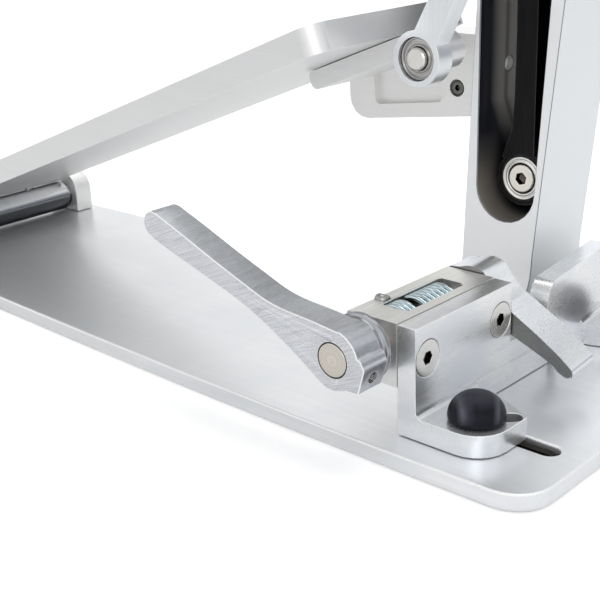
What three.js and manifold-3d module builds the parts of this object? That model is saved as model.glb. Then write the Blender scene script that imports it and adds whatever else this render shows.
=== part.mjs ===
// Bass drum pedal, single post, direct drive, machined aluminium.
// Millimetres, +Z up, +X towards the drum, +Y to the player's left.
// The root origin lies on the underside of the base plate, on the centreline of the hoop clamp.
// Inside the group "pedal" the working frame is the near clamp bracket: x = 0 at the back of its
// web, y = 0 at its near end, z = 0 on the top of the base plate. "Near" is the low-y side.
import * as THREE from 'three';
import { mergeVertices } from 'three/addons/utils/BufferGeometryUtils.js';
import Module from 'manifold-3d';

const wasm = await Module();
wasm.setup();

const rad = THREE.MathUtils.degToRad;
const { clamp } = THREE.MathUtils;
const middle = ([low, high]) => (low + high) / 2;

// ---------------------------------------------------------------- driving dimensions (mm)
// Names ending in _Y are [near, far] spans; axes along y are given as [x, z].
const GAP = 0.3;                      // assembly gap between touching pieces
const PLATE_THICKNESS = 6.35;         // base plate, 1/4 inch
const CENTRE_Y = 65;                  // centreline of the hoop clamp

const WEB_THICKNESS = 7.5;            // clamp bracket webs
const WEB_HEIGHT = 40.15;
const WEB_WIDTH = 56.4;
const BRACKET_FOOT = 8.3;             // thickness of the bracket feet
const CLAMP_AXIS = [-10.1, 31.9];     // clamp shaft
const CLAMP_SHAFT_RADIUS = 6;
const LEVER_Y = [-21, -9];
const JAW_Y = [57, 71.2];
const BUMPER_AT = [22.9, 12.9];       // near rubber bumper (x, y)
const BUMPER_RADIUS = 9.6;
const BRACKET_BOLT_AT = [12.6, 22.7]; // also the line of the slot in the plate (x, y)
const FAR_PIVOT = [13.2, 113.5];      // far bracket pivot (x, y)
const FAR_TURN = rad(7);              // far bracket, turned in plan

const HINGE = [-316, 8.6];            // heel hinge
const HINGE_RADIUS = 6;               // journals of the hinge shaft
const HINGE_BRACKETS_Y = { near: [-1.8, 8.2], far: [100.6, 110.8] };
const HINGE_SCREW_X = HINGE[0] - 9.7;

const BOARD_TILT = rad(21);           // footboard slope at rest
const BOARD_START_X = -361.2;         // where the board's underside meets the plate top
const BOARD_Y = [10.5, 98.3];
const BOARD_THICKNESS = 10;
const BOARD_LENGTH = [20, 343];       // start and end along the board
const HINGE_SCREWS = [[45.6, 30], [45.6, 79]]; // (along the board, y)
const TOE_SCREWS = [[309, 62], [309, 80]];

const AXLE = [-14, 190];              // beater axle
const AXLE_RADIUS = 5;
const TOE = [-26.3, 117.4];           // toe pivot
const LINK_Y = [44, 52];              // drive link
const CRANK_Y = [54.2, 62.2];         // drive crank
const CRANK_THROW = 30;
const CRANK_ANGLE = rad(14);          // above horizontal at rest
const PULL_THROW = 12.5;              // spring crank
const PULL_ANGLE = rad(203);
const PULL_ROD_Y = [109.8, 118];
const POST_Y = [100, 137.4];
const BEATER_LEAN = rad(44);          // towards the player at rest
const BEATER_Y = 77;                  // beater plane

// ---------------------------------------------------------------- points and outlines
const DIR = {
  up: [0, 0, 1], down: [0, 0, -1], near: [0, -1, 0], far: [0, 1, 0],
  drum: [1, 0, 0], player: [-1, 0, 0],
};
// unit vector in the x-z plane, angle measured from +x towards +z
const slope = (angle) => [Math.cos(angle), 0, Math.sin(angle)];
const along = (start, direction, distance) => start.map((v, i) => v + direction[i] * distance);
// point on an axis along y
const onAxis = ([x, z], y) => [x, y, z];

const polar = ([x, y], radius, angle) => [
  x + radius * Math.cos(angle),
  y + radius * Math.sin(angle),
];
const arc = (centre, radius, start, end, steps) => Array.from({ length: steps + 1 },
  (_, i) => polar(centre, radius, start + ((end - start) * i) / steps));
const circle = (centre, radius, segments, start = 0) => Array.from({ length: segments },
  (_, i) => polar(centre, radius, start + (2 * Math.PI * i) / segments));

// polygon with rounded corners, from rows [a, b, corner radius]
function rounded(corners, steps = 4) {
  const outline = [];
  corners.forEach(([x, y, radius], i) => {
    if (!radius) {
      outline.push([x, y]);
      return;
    }
    const corner = new THREE.Vector2(x, y);
    const before = corners[(i + corners.length - 1) % corners.length];
    const after = corners[(i + 1) % corners.length];
    const toBefore = new THREE.Vector2(before[0] - x, before[1] - y);
    const toAfter = new THREE.Vector2(after[0] - x, after[1] - y);
    const room = Math.min(toBefore.length(), toAfter.length()) * 0.499;
    toBefore.normalize();
    toAfter.normalize();
    const half = Math.acos(clamp(toBefore.dot(toAfter), -1, 1)) / 2;
    const setback = Math.min(radius / Math.tan(half), room);
    const fitted = setback * Math.tan(half);
    const centre = toBefore.clone().add(toAfter).normalize()
      .multiplyScalar(fitted / Math.sin(half)).add(corner);
    const angleOf = (side) => corner.clone().addScaledVector(side, setback).sub(centre).angle();
    const start = angleOf(toBefore);
    let sweep = angleOf(toAfter) - start;
    while (sweep > Math.PI) sweep -= 2 * Math.PI;
    while (sweep < -Math.PI) sweep += 2 * Math.PI;
    outline.push(...arc([centre.x, centre.y], fitted, start, start + sweep, steps));
  });
  return outline;
}

// evenly spaced points on a smooth curve through the given points
function spline(points, steps) {
  const through = points.map(([a, b]) => new THREE.Vector3(a, b, 0));
  const curve = new THREE.CatmullRomCurve3(through, false, 'centripetal');
  return curve.getSpacedPoints(steps).map((p) => [p.x, p.y]);
}

// round-ended slot along x
function slotOutline([x0, x1], y, width) {
  const half = width / 2;
  const corners = [[x0, y - half], [x1, y - half], [x1, y + half], [x0, y + half]];
  return rounded(corners.map(([a, b]) => [a, b, half - 0.01]), 5);
}

// ---------------------------------------------------------------- solids
function solid(geometry) {
  const bare = geometry.clone();
  bare.deleteAttribute('normal');
  bare.deleteAttribute('uv');
  const merged = mergeVertices(bare, 1e-4);
  const index = merged.index.array;
  const triangles = [];
  for (let i = 0; i < index.length; i += 3) {
    const [a, b, c] = index.slice(i, i + 3);
    if (a !== b && b !== c && c !== a) triangles.push(a, b, c);
  }
  return new wasm.Manifold(new wasm.Mesh({
    numProp: 3,
    vertProperties: new Float32Array(merged.attributes.position.array),
    triVerts: new Uint32Array(triangles),
  }));
}

const shapeOf = (outline) => new THREE.Shape(outline.map(([a, b]) => new THREE.Vector2(a, b)));
const extrude = (outline, [low, high]) => new THREE.ExtrudeGeometry(
  shapeOf(outline), { depth: high - low, bevelEnabled: false });

// outline (x, y) swept along z, (x, z) along y, and (y, z) along x
const AXES_YZX = new THREE.Matrix4().set(0, 0, 1, 0, 1, 0, 0, 0, 0, 1, 0, 0, 0, 0, 0, 1);
const sweepZ = (outline, span) => solid(extrude(outline, span).translate(0, 0, span[0]));
const sweepY = (outline, span) => solid(
  extrude(outline, span).rotateX(Math.PI / 2).translate(0, span[1], 0));
const sweepX = (outline, span) => solid(
  extrude(outline, span).applyMatrix4(AXES_YZX).translate(span[0], 0, 0));

// cylinders about an axis given by its two other coordinates, in alphabetical order
const cylinderX = (centre, radius, span, n) => sweepX(circle(centre, radius, n), span);
const cylinderY = (centre, radius, span, n) => sweepY(circle(centre, radius, n), span);
const cylinderZ = (centre, radius, span, n) => sweepZ(circle(centre, radius, n), span);

const box = (...spans) => solid(new THREE.BoxGeometry(...spans.map(([low, high]) => high - low))
  .translate(...spans.map(middle)));

// turned about z, from rows [r, z]: a closed loop, or a profile that starts and ends on the axis
function lathe(profile, segments) {
  let area = 0;
  profile.forEach(([r, z], i) => {
    const [nextR, nextZ] = profile[(i + 1) % profile.length];
    area += r * nextZ - nextR * z;
  });
  const rising = area < 0 ? [...profile].reverse() : profile;
  const points = rising.map(([r, z]) => new THREE.Vector2(r, z));
  return solid(new THREE.LatheGeometry(points, segments).rotateX(Math.PI / 2));
}
const plug = (radius, [low, high], segments) => lathe(
  [[0, low], [radius, low], [radius, high], [0, high]], segments);
// bar from z = 0 up, with both ends chamfered
const chamferedBar = (radius, length, chamfer, segments) => lathe([
  [0, 0], [radius - chamfer, 0], [radius, chamfer],
  [radius, length - chamfer], [radius - chamfer, length], [0, length],
], segments);

// round wire along a curve
function wire(points, radius, steps, sides) {
  const extrudePath = new THREE.CatmullRomCurve3(points, false, 'centripetal');
  const section = shapeOf(circle([0, 0], radius, sides));
  return solid(new THREE.ExtrudeGeometry(section, { steps, bevelEnabled: false, extrudePath }));
}

// place a z-built solid so that its +z points along a direction
function place(piece, position, direction, spin = 0) {
  const zAxis = new THREE.Vector3(0, 0, 1);
  const turn = new THREE.Quaternion()
    .setFromUnitVectors(zAxis, new THREE.Vector3(...direction).normalize())
    .multiply(new THREE.Quaternion().setFromAxisAngle(zAxis, spin));
  const matrix = new THREE.Matrix4()
    .compose(new THREE.Vector3(...position), turn, new THREE.Vector3(1, 1, 1));
  return piece.transform(matrix.toArray());
}
// place a fastener or its hole in the underside of the base plate
const fromBelow = (piece, [x, y], recess = 0) => place(
  piece, [x, y, -PLATE_THICKNESS + recess], DIR.down);

const cut = (body, tools) => tools.reduce((rest, tool) => rest.subtract(tool), body);

// ---------------------------------------------------------------- fasteners and bearings
// Built with the top face of the head at z = 0 and the shank towards -z.
// A screw has a radius, headRadius, socket (across flats) and segments.
const SCREW_RECESS = 0.1;   // of the heads under the base plate
const HINGE_BASE_SCREW = { radius: 2.5, headRadius: 4.6, socket: 2.5, segments: 12 };
const BOARD_SCREW = { radius: 2.5, headRadius: 5, socket: 3, segments: 24 };
const POST_SCREW = { radius: 3, headRadius: 6, socket: 4, segments: 16 };
const FAR_SCREW = { radius: 3, headRadius: 5.8, socket: 3, segments: 12 };
const CLAMP_SCREW = { radius: 3.1, headRadius: 6.55, socket: 4, segments: 28 };

const hexSocket = (flats, depth) => sweepZ(
  circle([0, 0], flats / Math.sqrt(3), 6, Math.PI / 6), [-depth, 1]);

function capScrew({ radius, headRadius, socket, segments, length, headHeight }) {
  const end = -headHeight - length;
  return lathe([
    [0, 0], [headRadius - 0.5, 0], [headRadius, -0.5], [headRadius, -headHeight],
    [radius, -headHeight], [radius, end + 0.5], [radius - 0.5, end], [0, end],
  ], segments).subtract(hexSocket(socket, headHeight * 0.6));
}

function flatScrew({ radius, headRadius, socket, segments }, length) {
  return lathe([
    [0, 0], [headRadius, 0], [headRadius, -0.4], [radius, -0.4 - (headRadius - radius)],
    [radius, -length + 0.5], [radius - 0.5, -length], [0, -length],
  ], segments).subtract(hexSocket(socket, 2.6));
}

function countersink({ radius, headRadius, segments }, depth) {
  const rim = -0.4 - 0.12;
  const end = -depth - GAP;
  return lathe([
    [0, 0.6], [headRadius + GAP, 0.6], [headRadius + GAP, rim],
    [radius + GAP, rim - (headRadius - radius)], [radius + GAP, end], [0, end],
  ], segments);
}

function counterbore({ radius, headRadius, headHeight, depth }) {
  const end = -headHeight - depth - GAP;
  return lathe([
    [0, 0.6], [headRadius + GAP, 0.6], [headRadius + GAP, -headHeight],
    [radius + GAP, -headHeight], [radius + GAP, end], [0, end],
  ], 14);
}

// threaded hole for a grub screw, opening outwards along +z
const grubHole = (outside = 8) => plug(2.3, [-9, outside], 12);

// ball bearing with the shields recessed between the races, centred on z = 0
function bearing(inner, outer, width, segments) {
  const race = (outer - inner) * 0.24;
  const half = width / 2;
  const shield = -half + 0.6;
  return lathe([
    [inner, -half], [inner + race, -half], [inner + race, shield], [outer - race, shield],
    [outer - race, -half], [outer, -half], [outer, half], [inner, half], [inner, -half],
  ], segments);
}

// ---------------------------------------------------------------- materials
const SATIN_ALUMINIUM = { color: 0xd2d2cf, roughness: 0.38, metalness: 1 };
const BRUSHED_ALUMINIUM = { color: 0xb4b3b4, roughness: 0.42, metalness: 1 };
const POST_FINISH = { color: 0xdde2e6, roughness: 0.3, metalness: 1 };
const STEEL = { color: 0xa8a49c, roughness: 0.3, metalness: 1 };
const CHROME = { color: 0xd8dadd, roughness: 0.08, metalness: 1 };
const ZINC = { color: 0xb9cdd4, roughness: 0.25, metalness: 1 };
const BLACK_ANODISED = { color: 0x141417, roughness: 0.35, metalness: 0.6 };
const RUBBER = { color: 0x17181d, roughness: 0.55, metalness: 0 };
const FELT = { color: 0xe6e2d8, roughness: 0.95, metalness: 0 };

// ---------------------------------------------------------------- groups
const root = new THREE.Group();
const pedal = new THREE.Group();
pedal.position.set(0, -CENTRE_Y, PLATE_THICKNESS);
root.add(pedal);
// the board's frame: x along its underside, z square to it
const board = new THREE.Group();
board.position.set(BOARD_START_X, 0, 0);
board.rotation.y = -BOARD_TILT;
pedal.add(board);

function add(name, piece, look, parent = pedal) {
  const { vertProperties, triVerts } = piece.getMesh();
  const geometry = new THREE.BufferGeometry();
  const positions = new THREE.BufferAttribute(new Float32Array(vertProperties), 3);
  geometry.setAttribute('position', positions);
  geometry.setIndex(new THREE.BufferAttribute(new Uint32Array(triVerts), 1));
  geometry.computeVertexNormals();
  const mesh = new THREE.Mesh(geometry, new THREE.MeshStandardMaterial(look));
  mesh.name = name;
  parent.add(mesh);
}

// ---------------------------------------------------------------- base plate
// bolts up into the post: x, y, bolt length, top of the hole in the post
const POST_BOLTS = [[-37, 112, 18.5, 13], [-17, 126, 18.5, 13], [-29, 90, 13.5, 8]];
const HINGE_BASE_SCREWS = Object.entries(HINGE_BRACKETS_Y)
  .map(([side, span]) => [side, [HINGE_SCREW_X, middle(span)]]);

// (x, y): the near edge tapers slightly to the heel, the far edge is waisted
const PLATE_NEAR_EDGE = [[-329, -2.4], [-223, -6.6], [-125, -9.9], [-50, -11.2], [20, -11.2]];
const PLATE_FAR_EDGE = [
  [-90, 75], [-112, 76.5], [-150, 86], [-190, 101],
  [-228, 112.5], [-263, 116.8], [-300, 115.8], [-329, 115.2],
];
// (x, y, corner radius)
const PLATE_DRUM_END = [
  [20, -11.2, 0], [58.4, -10.8, 14], [58.4, 141, 14], [-79, 141, 12], [-79, 75.2, 7],
];
const PLATE_HEEL_END = [[-329, 115.2, 0], [-342, 114.8, 11], [-342, -2.0, 11], [-329, -2.4, 0]];

function basePlate() {
  const outline = [
    ...spline(PLATE_NEAR_EDGE, 6),
    ...rounded(PLATE_DRUM_END, 5).slice(1),
    ...spline(PLATE_FAR_EDGE, 14),
    ...rounded(PLATE_HEEL_END).slice(1, -1),
  ];
  const slotY = BRACKET_BOLT_AT[1];
  const hingeHole = { ...HINGE_BASE_SCREW, segments: 16 };
  return cut(sweepZ(outline, [-PLATE_THICKNESS, 0]), [
    sweepZ(slotOutline([3, 48.7], slotY, 7.8), [-PLATE_THICKNESS - 1, 1]),
    sweepZ(slotOutline([0.4, 51.3], slotY, 13), [-PLATE_THICKNESS - 1, -3]),
    fromBelow(countersink(FAR_SCREW, 14), FAR_PIVOT),
    ...POST_BOLTS.map((bolt) => fromBelow(countersink(POST_SCREW, 20), bolt)),
    ...HINGE_BASE_SCREWS.map(([, at]) => fromBelow(countersink(hingeHole, 12), at)),
  ]);
}
add('base_plate', basePlate(), SATIN_ALUMINIUM);

// ---------------------------------------------------------------- heel hinge
function hingeBracket(span) {
  const [x, z] = HINGE;
  const outline = rounded([
    [x - 14.5, GAP, 0], [x + 11, GAP, 0], [x + 11, z + 13.2, 11], [x - 12.5, z + 13.2, 11],
  ], 5);
  return cut(sweepY(outline, span), [
    cylinderY(HINGE, HINGE_RADIUS + 0.15, [span[0] - 1, span[1] + 1], 22),
    cylinderZ([HINGE_SCREW_X, middle(span)], HINGE_BASE_SCREW.radius + GAP, [-1, 4.6], 12),
  ]);
}
Object.entries(HINGE_BRACKETS_Y).forEach(([side, span]) => {
  add(`hinge_bracket_${side}`, hingeBracket(span), SATIN_ALUMINIUM);
});
HINGE_BASE_SCREWS.forEach(([side, at]) => {
  const screw = fromBelow(flatScrew(HINGE_BASE_SCREW, 10.2), at, SCREW_RECESS);
  add(`base_hinge_screw_${side}`, screw, STEEL);
});

// shaft with end journals, tapped for the screws that hold the board
function hingeShaft() {
  const shaft = cylinderY(HINGE, 7.8, [10.9, 98.6], 26)
    .add(cylinderY(HINGE, HINGE_RADIUS, [-1.2, 110.2], 22));
  return cut(shaft, HINGE_SCREWS.map(([distance, y]) => place(
    plug(2.8, [-5, 3], 16),
    along([BOARD_START_X, y, 0], slope(BOARD_TILT), distance),
    slope(BOARD_TILT + Math.PI / 2),
  )));
}
add('hinge_shaft', hingeShaft(), CHROME);

// ---------------------------------------------------------------- footboard, in its own frame
const boardScrew = ([x, y], length) => place(
  flatScrew(BOARD_SCREW, length), [x, y, BOARD_THICKNESS - 0.05], DIR.up);

function footboard() {
  const outline = rounded([
    [BOARD_LENGTH[0], BOARD_Y[0], 16], [BOARD_LENGTH[1], BOARD_Y[0], 8],
    [BOARD_LENGTH[1], BOARD_Y[1], 8], [BOARD_LENGTH[0], BOARD_Y[1], 16],
  ], 5);
  const hole = ([x, y], depth) => place(
    countersink(BOARD_SCREW, depth), [x, y, BOARD_THICKNESS], DIR.up);
  return cut(sweepZ(outline, [0, BOARD_THICKNESS]), [
    ...HINGE_SCREWS.map((at) => hole(at, 18)),
    ...TOE_SCREWS.map((at) => hole(at, 15.5)),
  ]);
}
add('footboard', footboard(), SATIN_ALUMINIUM, board);
HINGE_SCREWS.forEach((at, i) => add(`hinge_screw_${i + 1}`, boardScrew(at, 14), STEEL, board));

// raised bar across the heel, cut away round the hinge screws
function heelStop() {
  const base = BOARD_THICKNESS;
  const top = base + 9;
  const plan = rounded([[33, 22, 8], [49.8, 22, 3], [49.8, 87, 3], [33, 87, 8]]);
  const side = rounded([[31, base, 0], [56, base, 0], [49.5, top, 6], [35, top, 4]]);
  const bar = sweepZ(plan, [base + GAP, top]).intersect(sweepY(side, [0, 120]));
  return cut(bar, HINGE_SCREWS.map((at) => cylinderZ(at, 5.6, [base - 1, base + 12], 20)));
}
add('heel_stop', heelStop(), SATIN_ALUMINIUM, board);

// toe pivot in the board's frame
const TOE_ALONG = (TOE[0] - BOARD_START_X) * Math.cos(BOARD_TILT)
  + TOE[1] * Math.sin(BOARD_TILT);
const TOE_ABOVE = -(TOE[0] - BOARD_START_X) * Math.sin(BOARD_TILT)
  + TOE[1] * Math.cos(BOARD_TILT);
const TOE_ON_BOARD = [TOE_ALONG, TOE_ABOVE];

// bolted under the toe; its arm carries the link pin beyond the board's end
function toeBracket() {
  const outline = rounded([
    [296, -GAP, 2], [296, -7.5, 3], [338, -7.5, 2],
    [TOE_ALONG + 2, TOE_ABOVE - 7.4, 7], [TOE_ALONG + 8.2, TOE_ABOVE, 7],
    [TOE_ALONG + 4, TOE_ABOVE + 7.6, 6], [343, -GAP, 0],
  ]);
  return cut(sweepY(outline, [LINK_Y[1] + 1.2, 86]), [
    box([338.5, 380], [LINK_Y[1] + 12, 100], [-40, 20]),
    cylinderY(TOE_ON_BOARD, 4 + GAP, [40, LINK_Y[1] + 9], 18),
    ...TOE_SCREWS.map(([x, y]) => place(plug(2.8, [-5.8, 2], 16), [x, y, 0], DIR.up)),
  ]);
}
add('toe_bracket', toeBracket(), SATIN_ALUMINIUM, board);
TOE_SCREWS.forEach((at, i) => add(`toe_screw_${i + 1}`, boardScrew(at, 15), STEEL, board));

const toePin = lathe([[0, 0], [3.4, 0], [4, -0.6], [4, -16.6], [0, -16.6]], 18);
add('toe_pin', place(toePin, onAxis(TOE_ON_BOARD, LINK_Y[0] - 0.4), DIR.near), STEEL, board);

// ---------------------------------------------------------------- drive link
const CRANK_PIN = polar(AXLE, CRANK_THROW, CRANK_ANGLE);

function driveLink() {
  const rise = [CRANK_PIN[0] - TOE[0], CRANK_PIN[1] - TOE[1]];
  const length = Math.hypot(...rise);
  const [ux, uz] = rise.map((v) => v / length);
  // (distance from the toe pivot, offset to the player's side)
  const bar = [
    [4, -5.2], [length / 2, -4.4], [length - 4, -6],
    [length - 4, 6], [length / 2, 4.4], [4, 5.2],
  ].map(([a, b]) => [TOE[0] + ux * a - uz * b, TOE[1] + uz * a + ux * b]);
  const bore = [LINK_Y[0] - 1, LINK_Y[1] + 1];
  const body = cylinderY(TOE, 9.85, LINK_Y, 26)
    .add(cylinderY(CRANK_PIN, 10.6, LINK_Y, 26))
    .add(sweepY(bar, LINK_Y));
  return cut(body, [cylinderY(TOE, 7.6, bore, 22), cylinderY(CRANK_PIN, 8.1, bore, 22)]);
}
add('drive_link', driveLink(), BRUSHED_ALUMINIUM);
const lowerBearing = place(bearing(4.15, 7.4, 5, 20), onAxis(TOE, middle(LINK_Y)), DIR.far);
add('link_bearing_lower', lowerBearing, STEEL);

// ---------------------------------------------------------------- post
// side outline (x, z, corner radius)
const POST_SIDE = [
  [-45.6, GAP, 0], [-12.6, GAP, 0], [-11.6, 33, 0], [1.2, 168, 10],
  [9.5, 190, 18], [-5, 213.5, 20], [-26, 213.5, 20], [-37.4, 190, 14],
];
const SEAT_SCREW = [-24, 146];        // spring seat screw (x, z)
const REAR_BOLT = [121, 104];         // rear block bolt (y, z)

// Leaning, tapered column: the side outline is crossed with the outline seen along x.
function post() {
  const [near, far] = POST_Y;
  const front = [
    [near - 20, GAP], [near - 20, 9],
    ...arc([near - 20, 29], 20, rad(-90), 0, 8),
    [near, 230], [far, 230], [far, 16], [140.5, 9], [140.5, GAP],
  ];
  const window = [
    ...arc([-25, 58.9], 13.1, Math.PI, 2 * Math.PI, 12),
    [-7.2, 146], [-12, 152], [-33, 152], [-38.2, 147],
  ];
  const column = sweepY(rounded(POST_SIDE, 5), [70, 150]).intersect(sweepX(front, [-70, 30]));
  const seatHole = counterbore({ radius: 2.5, headRadius: 4.4, headHeight: 3.2, depth: 16 });
  return cut(column, [
    sweepY(window, [90, 131.4]),
    // slot between the two cheeks of the head
    box([-36.2, -6.2], [108.4, 129], [140, 166]),
    box([-60, 30], [108.4, 129], [164, 230]),
    // bearing pockets and axle bores
    cylinderY(AXLE, 9.3, [98, near + 7], 18),
    cylinderY(AXLE, 7.5, [98, 112], 18),
    cylinderY(AXLE, 9.3, [far - 7, 140], 18),
    cylinderY(AXLE, 7.5, [125, 140], 18),
    ...POST_BOLTS.map(([x, y, , top]) => cylinderZ([x, y], 3 + GAP, [-1, top], 16)),
    place(seatHole, onAxis(SEAT_SCREW, far + 0.2), DIR.far),
    cylinderX(REAR_BOLT, 3, [-52, -34], 12),
  ]);
}
add('post', post(), POST_FINISH);
POST_BOLTS.forEach(([x, y, length], i) => {
  const bolt = fromBelow(flatScrew(POST_SCREW, length), [x, y], SCREW_RECESS);
  add(`post_bolt_${i + 1}`, bolt, STEEL);
});

// block on the player's side of the post, with a shallow pocket in its near face
function rearBlock() {
  const outline = rounded([
    [-113.6, 113, 4], [-113.6, 74.2, 9], [-43.1, 83.6, 0], [-41.9, 115.5, 0], [-60, 115.5, 4],
  ]);
  const pocket = rounded([
    [-100.6, 99.5, 2.5], [-99.2, 82.2, 2.5], [-63.9, 86.9, 2.5], [-65, 102, 2.5],
  ]);
  const screwHole = counterbore({ radius: 2.2, headRadius: 3.3, headHeight: 3.4, depth: 9 });
  return cut(sweepY(outline, [112, 130]), [
    sweepY(pocket, [111, 115.5]),
    place(screwHole, [-56.9, 112, 93.5], DIR.near),
    cylinderX(REAR_BOLT, 3, [-110, -30], 12),
    cylinderX(REAR_BOLT, 4.7, [-120, -108.4], 14),
  ]);
}
add('rear_block', rearBlock(), SATIN_ALUMINIUM);

const rearScrew = capScrew({
  radius: 2.2, length: 8.5, headRadius: 3, headHeight: 3, socket: 2.5, segments: 14,
});
add('rear_block_screw', place(rearScrew, [-56.9, 112.3, 93.5], DIR.near), STEEL);
const rearBolt = capScrew({
  radius: 2.6, length: 66.5, headRadius: 4.3, headHeight: 4, socket: 3, segments: 14,
});
add('rear_block_bolt', place(rearBolt, [-112.8, ...REAR_BOLT], DIR.player), STEEL);

const axleBearing = bearing(5.35, 9.05, 6, 18);
const nearBearing = place(axleBearing, onAxis(AXLE, POST_Y[0] + 3.5), DIR.far);
const farBearing = place(axleBearing, onAxis(AXLE, POST_Y[1] - 3.5), DIR.near);
add('axle_bearing_near', nearBearing, STEEL);
add('axle_bearing_far', farBearing, STEEL);

// ---------------------------------------------------------------- axle and drive crank
const axle = chamferedBar(AXLE_RADIUS, 84, 0.6, 24);
add('beater_axle', place(axle, onAxis(AXLE, 53.6), DIR.far), CHROME);

// two round ends joined by their common tangents
function crankArm(hub, pin, hubRadius, pinRadius, span) {
  const offset = [pin[0] - hub[0], pin[1] - hub[1]];
  const angle = Math.atan2(offset[1], offset[0]);
  const tangent = Math.acos((hubRadius - pinRadius) / Math.hypot(...offset));
  return sweepY([
    ...arc(hub, hubRadius, angle + tangent, angle + 2 * Math.PI - tangent, 20),
    ...arc(pin, pinRadius, angle - tangent, angle + tangent, 10),
  ], span);
}

function driveCrank() {
  const grubSide = slope(rad(200));
  const grubAt = along(onAxis(AXLE, middle(CRANK_Y)), grubSide, 13);
  return cut(crankArm(AXLE, CRANK_PIN, 12.5, 8, CRANK_Y), [
    cylinderY(AXLE, AXLE_RADIUS + GAP, [50, 70], 22),
    cylinderY(CRANK_PIN, 4 + GAP, [50, 70], 18),
    place(grubHole(), grubAt, grubSide),
  ]);
}
add('drive_crank', driveCrank(), BRUSHED_ALUMINIUM);

function crankPin() {
  const head = 1.6;
  const pin = lathe([
    [0, 0], [5.6, 0], [5.9, -0.3], [5.9, -head], [3.4, -head],
    [3.4, -11.6], [4, -11.6], [4, -19.6], [0, -19.6],
  ], 18).subtract(hexSocket(3.2, 1.2));
  return place(pin, onAxis(CRANK_PIN, LINK_Y[0] - head), DIR.near);
}
add('crank_pin', crankPin(), STEEL);

// ---------------------------------------------------------------- beater
const ROD_UP = slope(BEATER_LEAN + Math.PI / 2);   // up the beater rod
const STRIKE = slope(BEATER_LEAN);                 // square to the rod, towards the drum
const ROD_START = 8.6;
const ROD_LENGTH = 150;
const onRod = (distance) => along(onAxis(AXLE, BEATER_Y), ROD_UP, distance);

// hub on the axle, with a bore for the beater rod
function beaterHub() {
  const socket = lathe([[0, 29], [8.6, 29], [9.6, 28], [9.6, 0], [0, 0]], 22);
  const body = cylinderY(AXLE, 12.5, [BEATER_Y - 10.5, BEATER_Y + 10.5], 26)
    .add(place(socket, onRod(0), ROD_UP));
  return cut(body, [
    cylinderY(AXLE, AXLE_RADIUS + GAP, [50, 100], 24),
    place(plug(5.3, [7.8, 40], 18), onRod(0), ROD_UP),
    place(plug(2.8, [0, 30], 12), onRod(20), STRIKE),
    place(plug(2.3, [3, 20], 12), onAxis(AXLE, BEATER_Y - 7), STRIKE),
  ]);
}
add('beater_hub', beaterHub(), BRUSHED_ALUMINIUM);

const rodScrew = lathe([
  [0, 7.5], [3.2, 7.5], [3.2, 0], [2.5, 0], [2.5, -5.8], [0, -5.8],
], 14).add(box([-4.8, 4.8], [-1.1, 1.1], [2.5, 11]));
add('beater_rod_screw', place(rodScrew, along(onRod(20), STRIKE, 11.2), STRIKE), STEEL);

const beaterRod = chamferedBar(5, ROD_LENGTH, 0.6, 18);
add('beater_rod', place(beaterRod, onRod(ROD_START), ROD_UP), CHROME);

// head: felt ring on a core, its axis square to the rod
const HEAD_CENTRE = onRod(ROD_START + ROD_LENGTH + 10);
const rodBore = (radius) => place(plug(radius, [-40, 0], 18), HEAD_CENTRE, ROD_UP);
const beaterCore = lathe([[0, -17], [8, -17], [11, -14], [11, 14], [8, 17], [0, 17]], 20);
const beaterFelt = lathe([
  [11.4, -13], [19, -13], [24, -9.5], [25.5, 0], [24, 9.5], [19, 13], [11.4, 13], [11.4, -13],
], 24);
const placedCore = place(beaterCore, HEAD_CENTRE, STRIKE).subtract(rodBore(5.3));
add('beater_core', placedCore, BRUSHED_ALUMINIUM);
add('beater_felt', place(beaterFelt, HEAD_CENTRE, STRIKE).subtract(rodBore(6)), FELT);

// ---------------------------------------------------------------- spring crank and return spring
const PULL_PIN = polar(AXLE, PULL_THROW, PULL_ANGLE);
const PULL_SCREW = [-23.5, 61.6];     // screw at the foot of the pull rod (x, z)

function springCrank() {
  return cut(crankArm(AXLE, PULL_PIN, 10.5, 6.4, [119.3, 127]), [
    cylinderY(AXLE, AXLE_RADIUS + GAP, [100, 140], 22),
    cylinderY(PULL_PIN, 3 + GAP, [100, 140], 14),
    place(grubHole(), [AXLE[0] + 11, 123.2, AXLE[1]], DIR.drum),
  ]);
}
add('spring_crank', springCrank(), BRUSHED_ALUMINIUM);
const pullPin = place(plug(3, [-15.4, 0], 14), onAxis(PULL_PIN, 110.2), DIR.near);
add('spring_crank_pin', pullPin, STEEL);

// curved arm with an eye at each end
function pullRod() {
  const x = PULL_SCREW[0];
  const [pinX, pinZ] = PULL_PIN;
  const eye = [pinX - 0.5, pinZ];
  const near = PULL_ROD_Y[0];
  const drumEdge = [[x + 5, 66], [x + 4.8, 100], [x + 4.2, 140], [pinX + 4.3, pinZ]];
  const playerEdge = [
    [pinX - 5.6, pinZ], [x - 5, 140], [x - 4.6, 100], [x - 5.4, 80], [x - 9.5, 69],
  ];
  const body = sweepY([...spline(drumEdge, 5), ...spline(playerEdge, 9)], PULL_ROD_Y)
    .add(cylinderY(PULL_SCREW, 11, PULL_ROD_Y, 22))
    .add(cylinderY(eye, 6.9, PULL_ROD_Y, 18));
  return cut(body, [
    cylinderY(PULL_SCREW, 3 + GAP, [100, 130], 14),
    cylinderY(PULL_SCREW, 9.2, [100, near + 2.2], 20),
    cylinderY(PULL_SCREW, 6.1, [100, 113.6], 18),
    cylinderY(eye, 4.5, [100, 130], 18),
  ]);
}
add('pull_rod', pullRod(), BLACK_ANODISED);

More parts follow.
